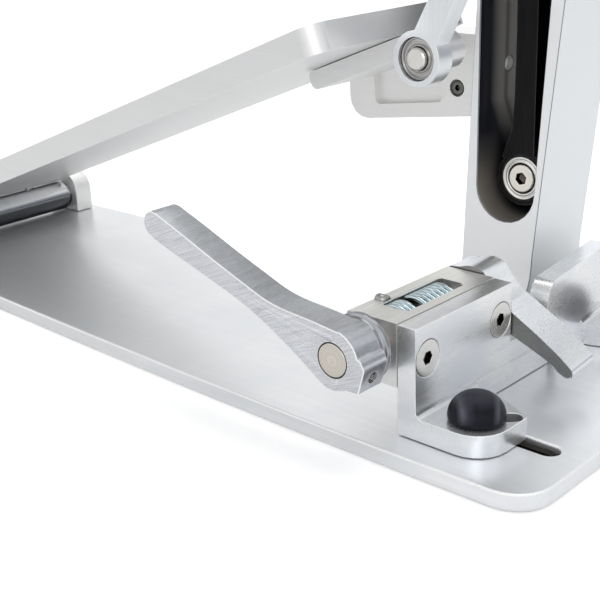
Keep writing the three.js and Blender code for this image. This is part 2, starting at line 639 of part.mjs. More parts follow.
const washer = cylinderY(PULL_SCREW, 8.8, [109.2, 111.9], 22)
  .subtract(cylinderY(PULL_SCREW, 6.1, [100, 130], 18));
add('pull_washer', washer, STEEL);
const pullScrew = capScrew({
  radius: 3, length: 13.1, headRadius: 5.7, headHeight: 4.4, socket: 4.5, segments: 18,
});
add('pull_screw', place(pullScrew, onAxis(PULL_SCREW, 108.9), DIR.near, 0.3), STEEL);
const carriage = box([-33.5, -14.6], [118.4, 130.9], [54, 72.5])
  .subtract(cylinderY(PULL_SCREW, 3 + GAP, [100, 127.4], 14));
add('spring_carriage', carriage, BRUSHED_ALUMINIUM);

// upright coil, closed up at both ends
function returnSpring() {
  const turns = 9;
  const stepsPerTurn = 8;
  const centre = [-23.6, 124.8];
  const [bottom, top] = [74, 139.6];
  const endPart = 0.08;    // share of the turns in each closed end
  const endRise = 0.03;    // share of the height in each closed end
  const points = [];
  for (let i = 0; i <= turns * stepsPerTurn; i++) {
    const turn = i / stepsPerTurn;
    const part = turn / turns;
    const rise = clamp((part - endPart) / (1 - 2 * endPart), 0, 1) * (1 - 2 * endRise)
      + endRise * Math.min(1, part / endPart)
      + endRise * Math.max(0, (part - (1 - endPart)) / endPart);
    const [x, y] = polar(centre, 5, 2 * Math.PI * turn);
    points.push(new THREE.Vector3(x, y, bottom + (top - bottom) * rise));
  }
  return wire(points, 1, turns * stepsPerTurn, 5);
}
add('return_spring', returnSpring(), ZINC);

const springSeat = box([-32.8, -13], [118.8, 131], [141.2, 150.4])
  .subtract(cylinderY(SEAT_SCREW, 2.5 + GAP, [118, 140], 14));
add('spring_seat', springSeat, BRUSHED_ALUMINIUM);
const seatScrew = capScrew({
  radius: 2.5, length: 14.5, headRadius: 4.1, headHeight: 3, socket: 3, segments: 14,
});
add('spring_seat_screw', place(seatScrew, onAxis(SEAT_SCREW, POST_Y[1] + 0.1), DIR.far), STEEL);

// ---------------------------------------------------------------- near clamp bracket
const CLAMP_SCREWS = [[6.8, 28.04], [WEB_WIDTH - 6.8, 28.04]]; // (y, z)

// fillet between the web's drum-side face and the top of the foot
function rootFillet(webFace, span) {
  const radius = 2.4;
  return sweepY([
    [webFace - 0.5, BRACKET_FOOT - 0.5],
    ...arc([webFace + radius, BRACKET_FOOT + radius], radius, rad(270), rad(180), 5),
  ], span);
}
const bracketBoltHole = (at) => cylinderZ(at, 3 + GAP, [-1, 6.6], 14);

// L section with a low extension under the jaw and a tongue for the bumper
function clampBracket() {
  const web = [0, WEB_THICKNESS];
  const ledge = WEB_THICKNESS + 0.6;
  const tongueEnd = 34.6;
  const tongue = rounded([
    [2, 0, 0], [35.4, 0, 13.4], [35.4, 24.2, 1.2],
    [14.5, tongueEnd, 3], [ledge, tongueEnd, 0], [2, tongueEnd, 0],
  ], 6);
  const body = box(web, [0, WEB_WIDTH], [GAP, WEB_HEIGHT])
    .add(box(web, [10, 72.6], [GAP, 17.6]))
    .add(box(web, [10, 82], [GAP, 12.5]))
    .add(box([2, ledge], [10, 82], [GAP, 9.2]))
    .add(sweepZ(tongue, [GAP, BRACKET_FOOT]))
    .add(rootFillet(WEB_THICKNESS, [0, tongueEnd]));
  const screwHole = countersink({ ...CLAMP_SCREW, headRadius: 6.35 }, 17);
  // bumper slot, diagonal across the tongue
  const slotAngle = rad(43.3);
  const [cos, sin] = [Math.cos(slotAngle), Math.sin(slotAngle)];
  const slot = slotOutline([-6.5, 15.4], 0, 6.2).map(([a, b]) => [
    BUMPER_AT[0] + a * cos - b * sin,
    BUMPER_AT[1] + a * sin + b * cos,
  ]);
  return cut(body, [
    ...CLAMP_SCREWS.map((at) => place(screwHole, [WEB_THICKNESS, ...at], DIR.drum)),
    sweepZ(slot, [-1, BRACKET_FOOT + 1]),
    bracketBoltHole(BRACKET_BOLT_AT),
  ]);
}
add('clamp_bracket', clampBracket(), SATIN_ALUMINIUM);

['near', 'far'].forEach((side, i) => {
  const at = [WEB_THICKNESS - 0.08, ...CLAMP_SCREWS[i]];
  add(`clamp_screw_${side}`, place(flatScrew(CLAMP_SCREW, 10.6), at, DIR.drum, 0.25), STEEL);
});

const bracketBolt = lathe([
  [0, 0], [6, 0], [6, -2.6], [3, -2.6], [3, -12.2], [0, -12.2],
], 18).subtract(hexSocket(3, 1.8));
add('bracket_bolt', place(bracketBolt, [...BRACKET_BOLT_AT, -5.9], DIR.down), STEEL);

// ---------------------------------------------------------------- clamp block and its spring
const ANCHOR_PIN = [15.4, 39.9];      // (y, z)

// behind the web, open on top over the spring
function clampBlock() {
  const back = -22.6;
  const top = WEB_HEIGHT + 0.2;
  const outline = rounded([
    [back, 17.4, 1], [-GAP, 17.4, 0], [-GAP, top, 0], [back + 1.4, top, 1.2], [back, 36.5, 2],
  ]);
  const shaftX = CLAMP_AXIS[0];
  return cut(sweepY(outline, [0, WEB_WIDTH]), [
    cylinderY(CLAMP_AXIS, CLAMP_SHAFT_RADIUS + 0.12, [-1, 60], 26),
    cylinderY(CLAMP_AXIS, 9.6, [11, 44.5], 24),
    box([shaftX - 5.2, shaftX + 5.8], [11.6, 43.4], [32, 50]),
    ...CLAMP_SCREWS.map((at) => cylinderX(at, CLAMP_SCREW.radius + GAP, [-3.6, 1], 20)),
    cylinderX(ANCHOR_PIN, 2.35, [-40, shaftX - 6], 14),
  ]);
}
add('clamp_block', clampBlock(), SATIN_ALUMINIUM);
const anchorPin = lathe([[0, 0], [1.6, 0], [2.05, -0.45], [2.05, -4.4], [0, -4.4]], 14);
add('spring_anchor_pin', place(anchorPin, [-21, ...ANCHOR_PIN], DIR.player), STEEL);

// torsion spring round the clamp shaft: a short and a long group of coils
function torsionSpring() {
  const points = [];
  let start = 0.4;
  // start y, end y, turns
  [[11.9, 17.6, 3.4], [21.2, 39.6, 9.6]].forEach(([y0, y1, turns]) => {
    const steps = Math.round(turns * 8);
    const sweep = 2 * Math.PI * turns;
    arc(CLAMP_AXIS, 8.15, start, start + sweep, steps).forEach(([x, z], i) => {
      points.push(new THREE.Vector3(x, y0 + ((y1 - y0) * i) / steps, z));
    });
    start += sweep + 0.55;
  });
  return wire(points, 0.78, 104, 5);
}
add('torsion_spring', torsionSpring(), ZINC);

// ---------------------------------------------------------------- rubber bumpers
// domed, with a blind hole for the stud underneath
function bumper() {
  const base = BRACKET_FOOT + GAP;
  const profile = [[0, base], [BUMPER_RADIUS - 0.25, base]];
  const steps = 6;
  for (let k = 0; k < steps; k++) {
    const angle = (Math.PI / 2) * (k / steps);
    profile.push([
      BUMPER_RADIUS * Math.cos(angle) ** 0.92,
      base + 1.2 + BUMPER_RADIUS * Math.sin(angle),
    ]);
  }
  profile.push([0, base + 1.2 + BUMPER_RADIUS]);
  return lathe(profile, 20).subtract(plug(2.8, [BRACKET_FOOT - 1, BRACKET_FOOT + 5.6], 12));
}

function addBumper(side, [x, y], parent) {
  const stud = plug(2.4, [1, BRACKET_FOOT + 5.2], 14);
  add(`bumper_${side}`, bumper().translate([x, y, 0]), RUBBER, parent);
  add(`bumper_stud_${side}`, stud.translate([x, y, 0]), STEEL, parent);
}
addBumper('near', BUMPER_AT, pedal);

// ---------------------------------------------------------------- clamp shaft, hand lever, jaw
const clampShaft = lathe([
  [0, 0], [CLAMP_SHAFT_RADIUS - 0.35, 0], [CLAMP_SHAFT_RADIUS, -0.35],
  [CLAMP_SHAFT_RADIUS, -92.2], [CLAMP_SHAFT_RADIUS - 0.35, -92.6], [0, -92.6],
], 26);
add('clamp_shaft', place(clampShaft, onAxis(CLAMP_AXIS, LEVER_Y[0] - 0.25), DIR.near), STEEL);

// lever outline (x, z)
const LEVER_TOP = [
  [-7.9, 42.2], [-18.9, 43.5], [-33.3, 44.8], [-40.5, 46.4],
  [-50.7, 50.1], [-65.4, 55.7], [-79, 61.2], [-92.6, 66.4],
];
const LEVER_TIP = [
  [-92.6, 66.4], [-95.6, 66.6], [-98.2, 64.9], [-99.2, 61.8], [-97.6, 58.6], [-94, 56.4],
];
const LEVER_UNDERSIDE = [
  [-94, 56.4], [-84, 52.9], [-69.5, 48.4], [-51.2, 42.3],
  [-41.5, 38.1], [-32.4, 33.2], [-24, 28.2], [-17.6, 23.9],
];
const LEVER_PAD = [[-4.2, 22.5], [0.6, 22.7], [3.2, 31.6], [1.6, 34.4]];
const PAD_FACING = slope(rad(-16));
const PAD_CENTRE = onAxis([1.9, 27.2], middle(LEVER_Y));

function handLever() {
  const hubRadius = 10.9;
  const outline = [
    ...spline(LEVER_TOP, 14),
    ...spline(LEVER_TIP, 5).slice(1),
    ...spline(LEVER_UNDERSIDE, 12).slice(1),
    ...arc(CLAMP_AXIS, hubRadius, rad(228), rad(279), 6),
    ...LEVER_PAD,
    ...arc(CLAMP_AXIS, hubRadius, rad(16), rad(75.2), 8),
  ];
  const body = sweepY(outline, LEVER_Y)
    .add(cylinderY(CLAMP_AXIS, 9.6, [LEVER_Y[1] - 0.5, -7.4], 26))
    .add(cylinderY(CLAMP_AXIS, 12, [-7.6, -5.4], 26));
  return cut(body, [
    cylinderY(CLAMP_AXIS, CLAMP_SHAFT_RADIUS + GAP, [-30, 0], 26),
    place(plug(2.55, [-9, 3], 14), PAD_CENTRE, PAD_FACING),
  ]);
}
add('hand_lever', handLever(), BRUSHED_ALUMINIUM);
const leverGrub = plug(2.2, [-3.2, 0], 14).subtract(hexSocket(2.4, 2));
add('lever_grub', place(leverGrub, along(PAD_CENTRE, PAD_FACING, -2.9), PAD_FACING), STEEL);

// squared heel on the player's side of the hub, and the arm falling to the hoop (x, z)
const JAW_HEEL = [[-16.6, 40.9], [-19.8, 40.5], [-21.3, 39.0], [-21.0, 35.4]];
const JAW_ARM = [
  [2.5, 21.6], [9, 19.1], [16, 16.3], [22.6, 13.5], [25.3, 12.1], [26.6, 10.8],
  [30.6, 9.2], [32.0, 10.0], [32.8, 12.2], [32.5, 13.8], [31.2, 15.1],
  [27.1, 18.2], [18.7, 23.5], [10.1, 28.4], [3.6, 32.0], [-1.6, 36.4],
];

function jaw() {
  const hubRadius = 10.4;
  const outline = [
    ...arc(CLAMP_AXIS, hubRadius, rad(62), rad(111.5), 3),
    ...JAW_HEEL,
    ...arc(CLAMP_AXIS, hubRadius, rad(174), rad(302.4), 6),
    ...JAW_ARM,
  ];
  // the arm's upper face tips down towards the near side
  const tipped = sweepY(outline, JAW_Y).warp((v) => {
    const upper = v[2] > 24.5 - 0.47 * (v[0] - 2.5);
    if (v[1] < JAW_Y[0] + 1 && v[0] > 3 && upper) v[2] -= 1.5;
  });
  const grubAt = along(onAxis(CLAMP_AXIS, 63.6), DIR.player, hubRadius);
  return cut(tipped, [
    cylinderY(CLAMP_AXIS, CLAMP_SHAFT_RADIUS + GAP, [50, 80], 26),
    place(grubHole(6), grubAt, DIR.player),
  ]);
}
add('jaw', jaw(), BRUSHED_ALUMINIUM);

// ---------------------------------------------------------------- far bracket
// Built about its pivot, in a group turned in plan.
const farSide = new THREE.Group();
farSide.position.set(...FAR_PIVOT, 0);
farSide.rotation.z = FAR_TURN;
pedal.add(farSide);

// player's side, near corner of the web, taken into the turned frame
const cornerOffset = new THREE.Vector2(4.1 - FAR_PIVOT[0], 73.4 - FAR_PIVOT[1])
  .rotateAround(new THREE.Vector2(), -FAR_TURN);
const [FAR_X, FAR_Y] = cornerOffset.toArray();
const FAR_BUMPER = [FAR_X + 20.5, FAR_Y + 47];

function farBracket() {
  const height = 35;
  const end = FAR_Y + 58.2;
  const footStart = FAR_Y + 32.4;
  const face = FAR_X + WEB_THICKNESS;
  const web = rounded([
    [FAR_Y + 11.5, GAP, 0], [end, GAP, 0], [end, height, 1.5],
    [FAR_Y, height, 8], [FAR_Y, 20, 6], [FAR_Y + 11.5, 13, 2],
  ]);
  const foot = rounded([
    [FAR_X + 2, footStart, 0], [FAR_X + 12, footStart, 0], [FAR_X + 31, FAR_Y + 37, 13],
    [FAR_X + 31, end, 9], [FAR_X + 2, end, 0],
  ], 6);
  const body = sweepX(web, [FAR_X, face])
    .add(sweepZ(foot, [GAP, BRACKET_FOOT]))
    .add(rootFillet(face, [footStart, end]));
  return cut(body, [bracketBoltHole([0, 0]), cylinderZ(FAR_BUMPER, 2.7, [-1, 20], 14)]);
}
add('far_bracket', farBracket(), SATIN_ALUMINIUM, farSide);
addBumper('far', FAR_BUMPER, farSide);
add('far_bracket_bolt', fromBelow(flatScrew(FAR_SCREW, 12), FAR_PIVOT, SCREW_RECESS), STEEL);

export default root;
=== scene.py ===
"""A drum pedal: base plate, sloping footboard, post, swinging beater and side clamp.

It lies along x, with the footboard's heel at -x and the clamp at +x. The near side is -y and
z is up. Pieces are drawn in millimetres in a working frame: x = 0 at the back of the near clamp
web, y = 0 at the web's near end, z = 0 on top of the base plate. at() turns that into metres.
"""

import bpy
import bmesh
import math
from mathutils import Vector, Matrix

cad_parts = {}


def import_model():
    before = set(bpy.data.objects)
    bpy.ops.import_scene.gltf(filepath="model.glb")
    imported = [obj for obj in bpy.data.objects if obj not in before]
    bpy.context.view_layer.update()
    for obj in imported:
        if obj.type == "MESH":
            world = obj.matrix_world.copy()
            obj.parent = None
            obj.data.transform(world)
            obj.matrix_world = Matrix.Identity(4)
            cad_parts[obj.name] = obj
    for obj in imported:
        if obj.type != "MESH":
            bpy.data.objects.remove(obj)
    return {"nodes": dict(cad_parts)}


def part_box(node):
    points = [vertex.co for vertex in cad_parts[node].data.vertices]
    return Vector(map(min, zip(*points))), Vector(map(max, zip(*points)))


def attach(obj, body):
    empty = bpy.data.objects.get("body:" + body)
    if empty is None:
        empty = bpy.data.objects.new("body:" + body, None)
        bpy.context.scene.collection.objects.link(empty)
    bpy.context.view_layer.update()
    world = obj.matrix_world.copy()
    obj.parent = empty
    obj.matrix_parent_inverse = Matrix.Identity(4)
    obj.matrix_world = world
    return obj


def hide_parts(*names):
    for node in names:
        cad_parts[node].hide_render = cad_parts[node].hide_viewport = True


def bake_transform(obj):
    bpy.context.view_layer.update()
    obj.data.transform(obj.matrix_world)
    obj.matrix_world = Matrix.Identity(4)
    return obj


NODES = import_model()["nodes"]
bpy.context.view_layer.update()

# ---------------------------------------------------------------- driving places and directions
ORIGIN_Y = 65.0                  # mm from the working frame's y = 0 to the pedal's centre line
PLATE_TOP = 6.35                 # mm from the pedal's z = 0 up to the top of the base plate
SHAFT_X, SHAFT_Z = -10.1, 31.9   # clamp shaft's axis, which runs along y
AXLE_X, AXLE_Z = -14, 190        # beater axle's axis, which runs along y

UP, ALONG_Y, TO_NEAR = (0, 0, 1), (0, 1, 0), (0, -1, 0)

# Camera axes; the rubber's painted sheen highlights are laid out along the first two
VIEW_RIGHT = (0.737776, 0.674318, -0.031331)
VIEW_UP = (-0.218142, 0.282080, 0.934262)
VIEW_FORWARD = (-0.638827, 0.682441, -0.355209)


def at(x, y, z):
    """Working millimetres to scene metres."""
    return Vector((x / 1000, (y - ORIGIN_Y) / 1000, (z + PLATE_TOP) / 1000))


def unit(degrees):
    """Direction in the xz plane, measured from +x towards +z."""
    angle = math.radians(degrees)
    return Vector((math.cos(angle), 0, math.sin(angle)))


# The beater leans 44 degrees towards -x from upright
LEAN = math.radians(44)
BEATER_UP = Vector((-math.sin(LEAN), 0, math.cos(LEAN)))
BEATER_FORWARD = unit(44)
BEATER_PIVOT = at(AXLE_X, 77, AXLE_Z)
HEAD_CENTRE = BEATER_PIVOT + BEATER_UP * 0.1686


# ---------------------------------------------------------------- node helpers
class Nodes:
    """Fills a node tree; most methods add one node and return its output socket."""

    def __init__(self, tree):
        self.tree = tree
        tree.nodes.clear()

    def node(self, kind, **settings):
        node = self.tree.nodes.new(kind)
        for key, value in settings.items():
            setattr(node, key, value)
        return node

    def feed(self, value, socket):
        """Links a socket, or sets a constant."""
        if isinstance(value, bpy.types.NodeSocket):
            self.tree.links.new(value, socket)
        else:
            socket.default_value = value

    def math(self, operation, a, b=None, clamp=False):
        node = self.node("ShaderNodeMath", operation=operation, use_clamp=clamp)
        self.feed(a, node.inputs[0])
        if b is not None:
            self.feed(b, node.inputs[1])
        return node.outputs[0]

    def add(self, a, b):
        return self.math("ADD", a, b)

    def sub(self, a, b):
        return self.math("SUBTRACT", a, b)

    def mul(self, a, b):
        return self.math("MULTIPLY", a, b)

    def div(self, a, b):
        return self.math("DIVIDE", a, b)

    def above(self, a, b):
        return self.math("GREATER_THAN", a, b)

    def below(self, a, b):
        return self.math("LESS_THAN", a, b)

    def swing(self, value, amount):
        """Spreads a 0 to 1 value about zero."""
        return self.mul(self.sub(value, 0.5), amount)

    def vector_math(self, operation, a, b):
        node = self.node("ShaderNodeVectorMath", operation=operation)
        self.feed(a, node.inputs[0])
        self.feed(b, node.inputs[1])
        return node.outputs

    def dot(self, a, b):
        return self.vector_math("DOT_PRODUCT", a, b)["Value"]

    def split(self, vector):
        node = self.node("ShaderNodeSeparateXYZ")
        self.feed(vector, node.inputs[0])
        return tuple(node.outputs)

    def combine(self, *values):
        node = self.node("ShaderNodeCombineXYZ")
        for value, socket in zip(values, node.inputs):
            self.feed(value, socket)
        return node.outputs[0]

    def mix(self, factor, a, b):
        """Mixes two colours, each a socket or an RGB tuple."""
        node = self.node("ShaderNodeMix", data_type="RGBA")
        self.feed(factor, node.inputs["Factor"])
        for color, socket in ((a, node.inputs[6]), (b, node.inputs[7])):
            self.feed((*color, 1) if isinstance(color, tuple) else color, socket)
        return node.outputs[2]

    def ramp(self, factor, stops):
        """Colour ramp; stops are (position, grey or RGB)."""
        node = self.node("ShaderNodeValToRGB")
        elements = node.color_ramp.elements
        while len(elements) < len(stops):
            elements.new(0.5)
        for element, (position, tone) in zip(elements, stops):
            element.position = position
            element.color = (*tone, 1) if isinstance(tone, tuple) else (tone, tone, tone, 1)
        self.feed(factor, node.inputs[0])
        return node.outputs[0]


class Surface(Nodes):
    """A material around one Principled shader. Texture scales are cycles per metre."""

    def __init__(self, name):
        self.material = bpy.data.materials.new(name)
        self.material.use_nodes = True
        super().__init__(self.material.node_tree)
        output = self.node("ShaderNodeOutputMaterial")
        self.shader = self.node("ShaderNodeBsdfPrincipled")
        self.feed(self.shader.outputs[0], output.inputs[0])
        self.position = self.node("ShaderNodeTexCoord").outputs["Object"]

    def normal(self):
        return self.node("ShaderNodeNewGeometry").outputs["Normal"]

    def mapped(self, scale, rotation=(0, 0, 0), location=(0, 0, 0), source=None):
        """Scaled coordinates; one number scales all three axes."""
        node = self.node("ShaderNodeMapping", vector_type="POINT")
        node.inputs["Scale"].default_value = (scale,) * 3 if isinstance(scale, int) else scale
        node.inputs["Rotation"].default_value = rotation
        node.inputs["Location"].default_value = location
        self.feed(source or self.position, node.inputs["Vector"])
        return node.outputs[0]

    def noise_at(self, vector, detail, rough, distortion=0.0):
        node = self.node("ShaderNodeTexNoise")
        self.feed(vector, node.inputs["Vector"])
        node.inputs["Scale"].default_value = 1.0
        node.inputs["Detail"].default_value = detail
        node.inputs["Roughness"].default_value = rough
        node.inputs["Distortion"].default_value = distortion
        return node.outputs["Fac"]

    def noise(self, scale, detail, rough, distortion=0.0, location=(0, 0, 0)):
        return self.noise_at(self.mapped(scale, location=location), detail, rough, distortion)

    def cells(self, scale):
        node = self.node("ShaderNodeTexVoronoi")
        self.feed(self.mapped(scale), node.inputs["Vector"])
        node.inputs["Scale"].default_value = 1.0
        return node.outputs["Distance"]

    def bump(self, height, distance, strength):
        node = self.node("ShaderNodeBump")
        node.inputs["Distance"].default_value = distance
        node.inputs["Strength"].default_value = strength
        self.feed(height, node.inputs["Height"])
        return node.outputs[0]

    def paint_edge_highlight(self, base, amount, color, radius, gain):
        """Paints a highlight on edges, found where the bevelled normal leaves the true one."""
        bevel = self.node("ShaderNodeBevel", samples=4)
        bevel.inputs["Radius"].default_value = radius
        agreement = self.dot(bevel.outputs[0], self.normal())
        mask = self.math("MULTIPLY", self.sub(1.0, agreement), gain, clamp=True)
        return self.mix(self.mul(mask, amount), base, color)

    def finish(self, base, rough, metal, bump=None, aniso=0.0, tangent=None, specular=None):
        """Feeds the shader and returns the material."""
        values = {"Base Color": base, "Roughness": rough, "Metallic": metal, "Normal": bump,
                  "Tangent": tangent, "Specular IOR Level": specular}
        if aniso:
            values["Anisotropic"] = aniso
        for name, value in values.items():
            if value is not None:
                self.feed(value, self.shader.inputs[name])
        return self.material


def shade(color, factor):
    return tuple(min(1.0, c * factor) for c in color)


def grain_stops(color, contrast, low, middle, high):
    """Ramp stops from a darker to a brighter shade of a colour."""
    return [(low, shade(color, 1 - contrast * 1.3)), (middle, color),
            (high, shade(color, 1 + contrast))]


# ---------------------------------------------------------------- brushed and ground metal
WARM = (0.985, 0.98, 0.955)
# name: colour, roughness, metallic, streak axis, grain contrast, streak scale across and along,
#       anisotropy, bump (m), tint of the cloudy patches, patch strength, painted edge highlight
BRUSHED = {
    "plate_brushed": ((0.93, 0.94, 0.95), 0.30, 0.74, "X", 0.062, 1700, 26,
                      0.55, 0.000005, (0.925, 0.935, 0.95), 0.16, 0.0),
    "bracket_ground": ((0.93, 0.93, 0.92), 0.28, 0.84, "Y", 0.10, 2300, 60,
                       0.45, 0.000005, (0.83, 0.855, 0.905), 0.21, 0.0),
    "block_ground": ((0.88, 0.875, 0.845), 0.31, 0.8, "Y", 0.15, 2300, 80,
                     0.40, 0.000006, WARM, 0.1, 0.0),
    "lever_ground": ((0.64, 0.655, 0.68), 0.31, 1.0, "Y", 0.24, 2400, 330,
                     0.35, 0.000012, (0.97, 0.975, 1.0), 0.08, 0.3),
    "jaw_ground": ((0.95, 0.96, 0.97), 0.28, 0.82, "Y", 0.05, 1700, 60,
                   0.40, 0.000003, (0.87, 0.895, 0.935), 0.18, 0.0),
    "post_fine": ((0.95, 0.955, 0.96), 0.40, 0.30, "Z", 0.012, 1200, 14,
                  0.3, 0.0000012, (0.98, 0.99, 1.0), 0.05, 0.0),
    "board_brushed": ((0.77, 0.77, 0.77), 0.36, 0.85, "X", 0.03, 1400, 20,
                      0.5, 0.000006, WARM, 0.06, 0.6),
    "rear_block_satin": ((0.92, 0.92, 0.905), 0.42, 0.7, "X", 0.03, 1600, 40,
                         0.3, 0.000005, WARM, 0.05, 0.5),
    "link_satin": ((0.80, 0.82, 0.84), 0.33, 1.0, "Z", 0.07, 2000, 60,
                   0.4, 0.00001, WARM, 0.05, 0.6),
    # Collar behind the lever's hub: dark as painted shade
    "collar_painted_shade": ((0.40, 0.41, 0.43), 0.30, 1.0, "Z", 0.12, 2000, 60,
                    0.3, 0.00001, WARM, 0.05, 0.4),
}


def brushed(name, side=None, retone=None):
    """Streaked metal from BRUSHED.

    side is (direction, amount, colour) of painted shade for the faces turned that way;
    retone(surface, base) reworks the colour before the painted edge highlight goes on.
    """
    (color, rough, metal, axis, contrast, across, along,
     aniso, bump, tint, patches, edge) = BRUSHED[name]
    s = Surface(name)
    scale = [across] * 3
    scale["XYZ".index(axis)] = along
    streaks = s.noise(scale, detail=4.0, rough=0.65)
    bands = s.noise([k * 0.23 for k in scale], detail=3.0, rough=0.6, location=(3.1, 1.7, 9.2))
    clouds = s.noise(38, detail=3.0, rough=0.55, distortion=0.4)
    grain = s.add(s.mul(streaks, 0.62), s.mul(bands, 0.38))

    plain = s.ramp(grain, grain_stops(color, contrast, 0.30, 0.55, 0.74))
    tinted = s.mix(s.ramp(clouds, [(0.38, 0.0), (0.66, 1.0)]), plain,
                   tuple(c * t for c, t in zip(color, tint)))
    base = s.mix(patches * 4, plain, tinted)
    if side is not None:
        # Painted shade: faces turned towards direction take a darker colour
        direction, amount, tone = side
        facing = s.above(s.dot(s.normal(), direction), 0.85)
        base = s.mix(s.mul(facing, amount), base, tone)
    if retone is not None:
        base = retone(s, base)
    # Painted highlight along the edges
    base = s.paint_edge_highlight(base, edge, (0.97, 0.97, 0.97), radius=0.0006, gain=9.0)

    roughness = s.add(s.swing(grain, 0.12), rough)
    roughness = s.add(roughness, s.swing(clouds, 0.05))
    roughness = s.math("MAXIMUM", roughness, 0.06)
    tangent = s.combine(*(float(letter == axis) for letter in "XYZ"))
    return s.finish(base, roughness, metal, s.bump(grain, bump * 0.5, 0.6), aniso, tangent)


def window_painted_shade(s, base):
    """Painted light inside the post's window: walls dark with painted shade, a brown-grey painted
    reflection low on the near side, and a pale streak of painted highlight on the wall at -x."""
    x, y, z = (s.add(s.mul(axis, 1000), offset)
               for axis, offset in zip(s.split(s.position), (0.0, ORIGIN_Y, -PLATE_TOP)))
    # The window in working millimetres; its +x limit slopes with height
    inside = s.mul(s.above(y, 100.5), s.below(y, 131.8))
    inside = s.mul(inside, s.above(z, 44.0))
    limit = s.add(s.mul(s.math("MAXIMUM", s.sub(z, 58.9), 0.0), 0.054), -11.0)
    inside = s.mul(inside, s.below(x, limit))
    inside = s.mul(inside, s.above(x, -39.2))

    # Window walls: painted shade, near black
    mottle = s.noise((120, 120, 14), detail=3.0, rough=0.6)
    wall = s.mix(s.ramp(mottle, [(0.35, 0.0), (0.7, 1.0)]),
                 (0.012, 0.014, 0.024), (0.05, 0.05, 0.058))

    # Painted reflection: brown-grey, low on the near side
    low = s.ramp(s.div(z, 200), [(0.22, 1.0), (0.29, 0.9), (0.34, 0.35), (0.40, 0.0)])
    low = s.mul(low, s.ramp(s.div(s.sub(y, 100), 32), [(0.0, 1.0), (0.30, 0.75), (0.55, 0.0)]))
    wall = s.mix(low, wall, (0.34, 0.31, 0.27))

    # The painted highlight streak slants below z = 91
    slant = s.sub(y, s.mul(s.math("MAXIMUM", s.sub(91.0, z), 0.0), 0.5))
    streak = s.ramp(s.div(s.sub(slant, 100), 50),
                    [(0.16, 0.0), (0.26, 0.30), (0.34, 0.50), (0.38, 0.25), (0.43, 0.80),
                     (0.52, 1.0), (0.60, 0.6)])
    streak = s.mul(streak, s.ramp(s.div(z, 200), [(0.345, 0.0), (0.40, 0.75), (0.46, 1.0)]))
    streak = s.mul(streak, s.below(x, -30.0))
    wall = s.mix(streak, wall, (1.0, 0.97, 0.92))
    return s.mix(inside, base, wall)


def plate_board_shadow(s, base):
    """Painted shadow of the footboard: the heel half a touch darker than the toe half."""
    x = s.split(s.position)[0]
    # Painted shadow, fading out towards the toe
    darker = s.ramp(s.add(x, 0.35), [(0.0, 0.45), (0.12, 0.40), (0.30, 0.04), (0.42, 0.0)])
    return s.mix(darker, base, (0.62, 0.63, 0.63))


def lever_tone(s, base):
    """Flat sides: fine grain with lengthwise sanding marks laid over it."""
    flat = s.above(s.math("ABSOLUTE", s.dot(s.normal(), ALONG_Y)), 0.8)
    along_arm = s.mapped(1, rotation=(0, math.radians(22), 0))
    marks = s.noise_at(s.mapped((70, 1, 2200), source=along_arm), detail=4.0, rough=0.65)
    grain = s.noise(1500, detail=4.0, rough=0.7)
    tone = s.ramp(s.add(s.mul(marks, 0.6), s.mul(grain, 0.4)),
                  [(0.36, (0.44, 0.45, 0.485)), (0.5, (0.66, 0.67, 0.70)),
                   (0.64, (0.84, 0.845, 0.87))])
    return s.mix(s.mul(flat, 0.85), base, tone)


# ---------------------------------------------------------------- turned metal
def turned(name, color, rough, centre, axis, rings, contrast, edge=0.2, bump=0.000008,
           socket=0.0, rim=0.0, shade_below=False):
    """Fine rings about an axis through centre.

    Paints shade, where asked, into the socket inside one radius, onto the head's rim outside
    another (both in metres), and onto the faces that look down.
    """
    s = Surface(name)
    arm = s.vector_math("SUBTRACT", s.position, centre)[0]
    axis = Vector(axis).normalized()
    tilt = axis.rotation_difference(Vector(UP)).to_euler()
    x, y, height = s.split(s.mapped(1, rotation=tuple(tilt), source=arm))
    radius = s.math("SQRT", s.add(s.mul(x, x), s.mul(y, y)))
    grain = s.noise_at(s.combine(s.mul(radius, rings), s.mul(height, rings)),
                       detail=3.0, rough=0.6)
    clouds = s.noise(160, detail=3.0, rough=0.6)

    base = s.ramp(grain, grain_stops(color, contrast, 0.3, 0.55, 0.75))
    base = s.mix(s.ramp(clouds, [(0.4, 0.0), (0.7, 0.35)]), base, shade(color, 0.86))
    # Painted highlight along the turned edges
    base = s.paint_edge_highlight(base, edge, (0.96, 0.96, 0.96), radius=0.0003, gain=9)
    # Painted shade in the socket
    if socket:
        socket_shadow = s.mul(s.below(radius, socket), s.below(height, -0.00018))
        base = s.mix(s.mul(socket_shadow, 0.93), base, (0.055, 0.038, 0.024))
    # Painted shade ring on the head's rim
    if rim:
        base = s.mix(s.mul(s.above(radius, rim), 0.85), base, (0.10, 0.095, 0.09))
    # Painted shade on the faces that look down
    if shade_below:
        shadow = s.ramp(s.dot(s.normal(), UP), [(0.0, 0.93), (0.12, 0.85), (0.42, 0.0)])
        base = s.mix(shadow, base, (0.05, 0.052, 0.06))

    roughness = s.add(s.swing(grain, 0.22), s.add(rough, s.swing(clouds, 0.12)))
    roughness = s.math("MAXIMUM", roughness, 0.03)
    tangent = s.vector_math("CROSS_PRODUCT", axis, arm)[0]
    return s.finish(base, roughness, 1.0, s.bump(grain, bump, 0.8), 0.55, tangent)


def steel(name, centre, axis, color=(0.80, 0.785, 0.75), rough=0.27, socket=0.0, rim=0.0):
    return turned("steel_" + name, color, rough, centre, axis, rings=2600, contrast=0.08,
                  edge=0.6, bump=0.00001, socket=socket, rim=rim)


def chrome(name, rough, centre, axis, rings, contrast, shade_below=False):
    return turned(name, (0.86, 0.87, 0.88), rough, centre, axis, rings, contrast,
                  shade_below=shade_below)


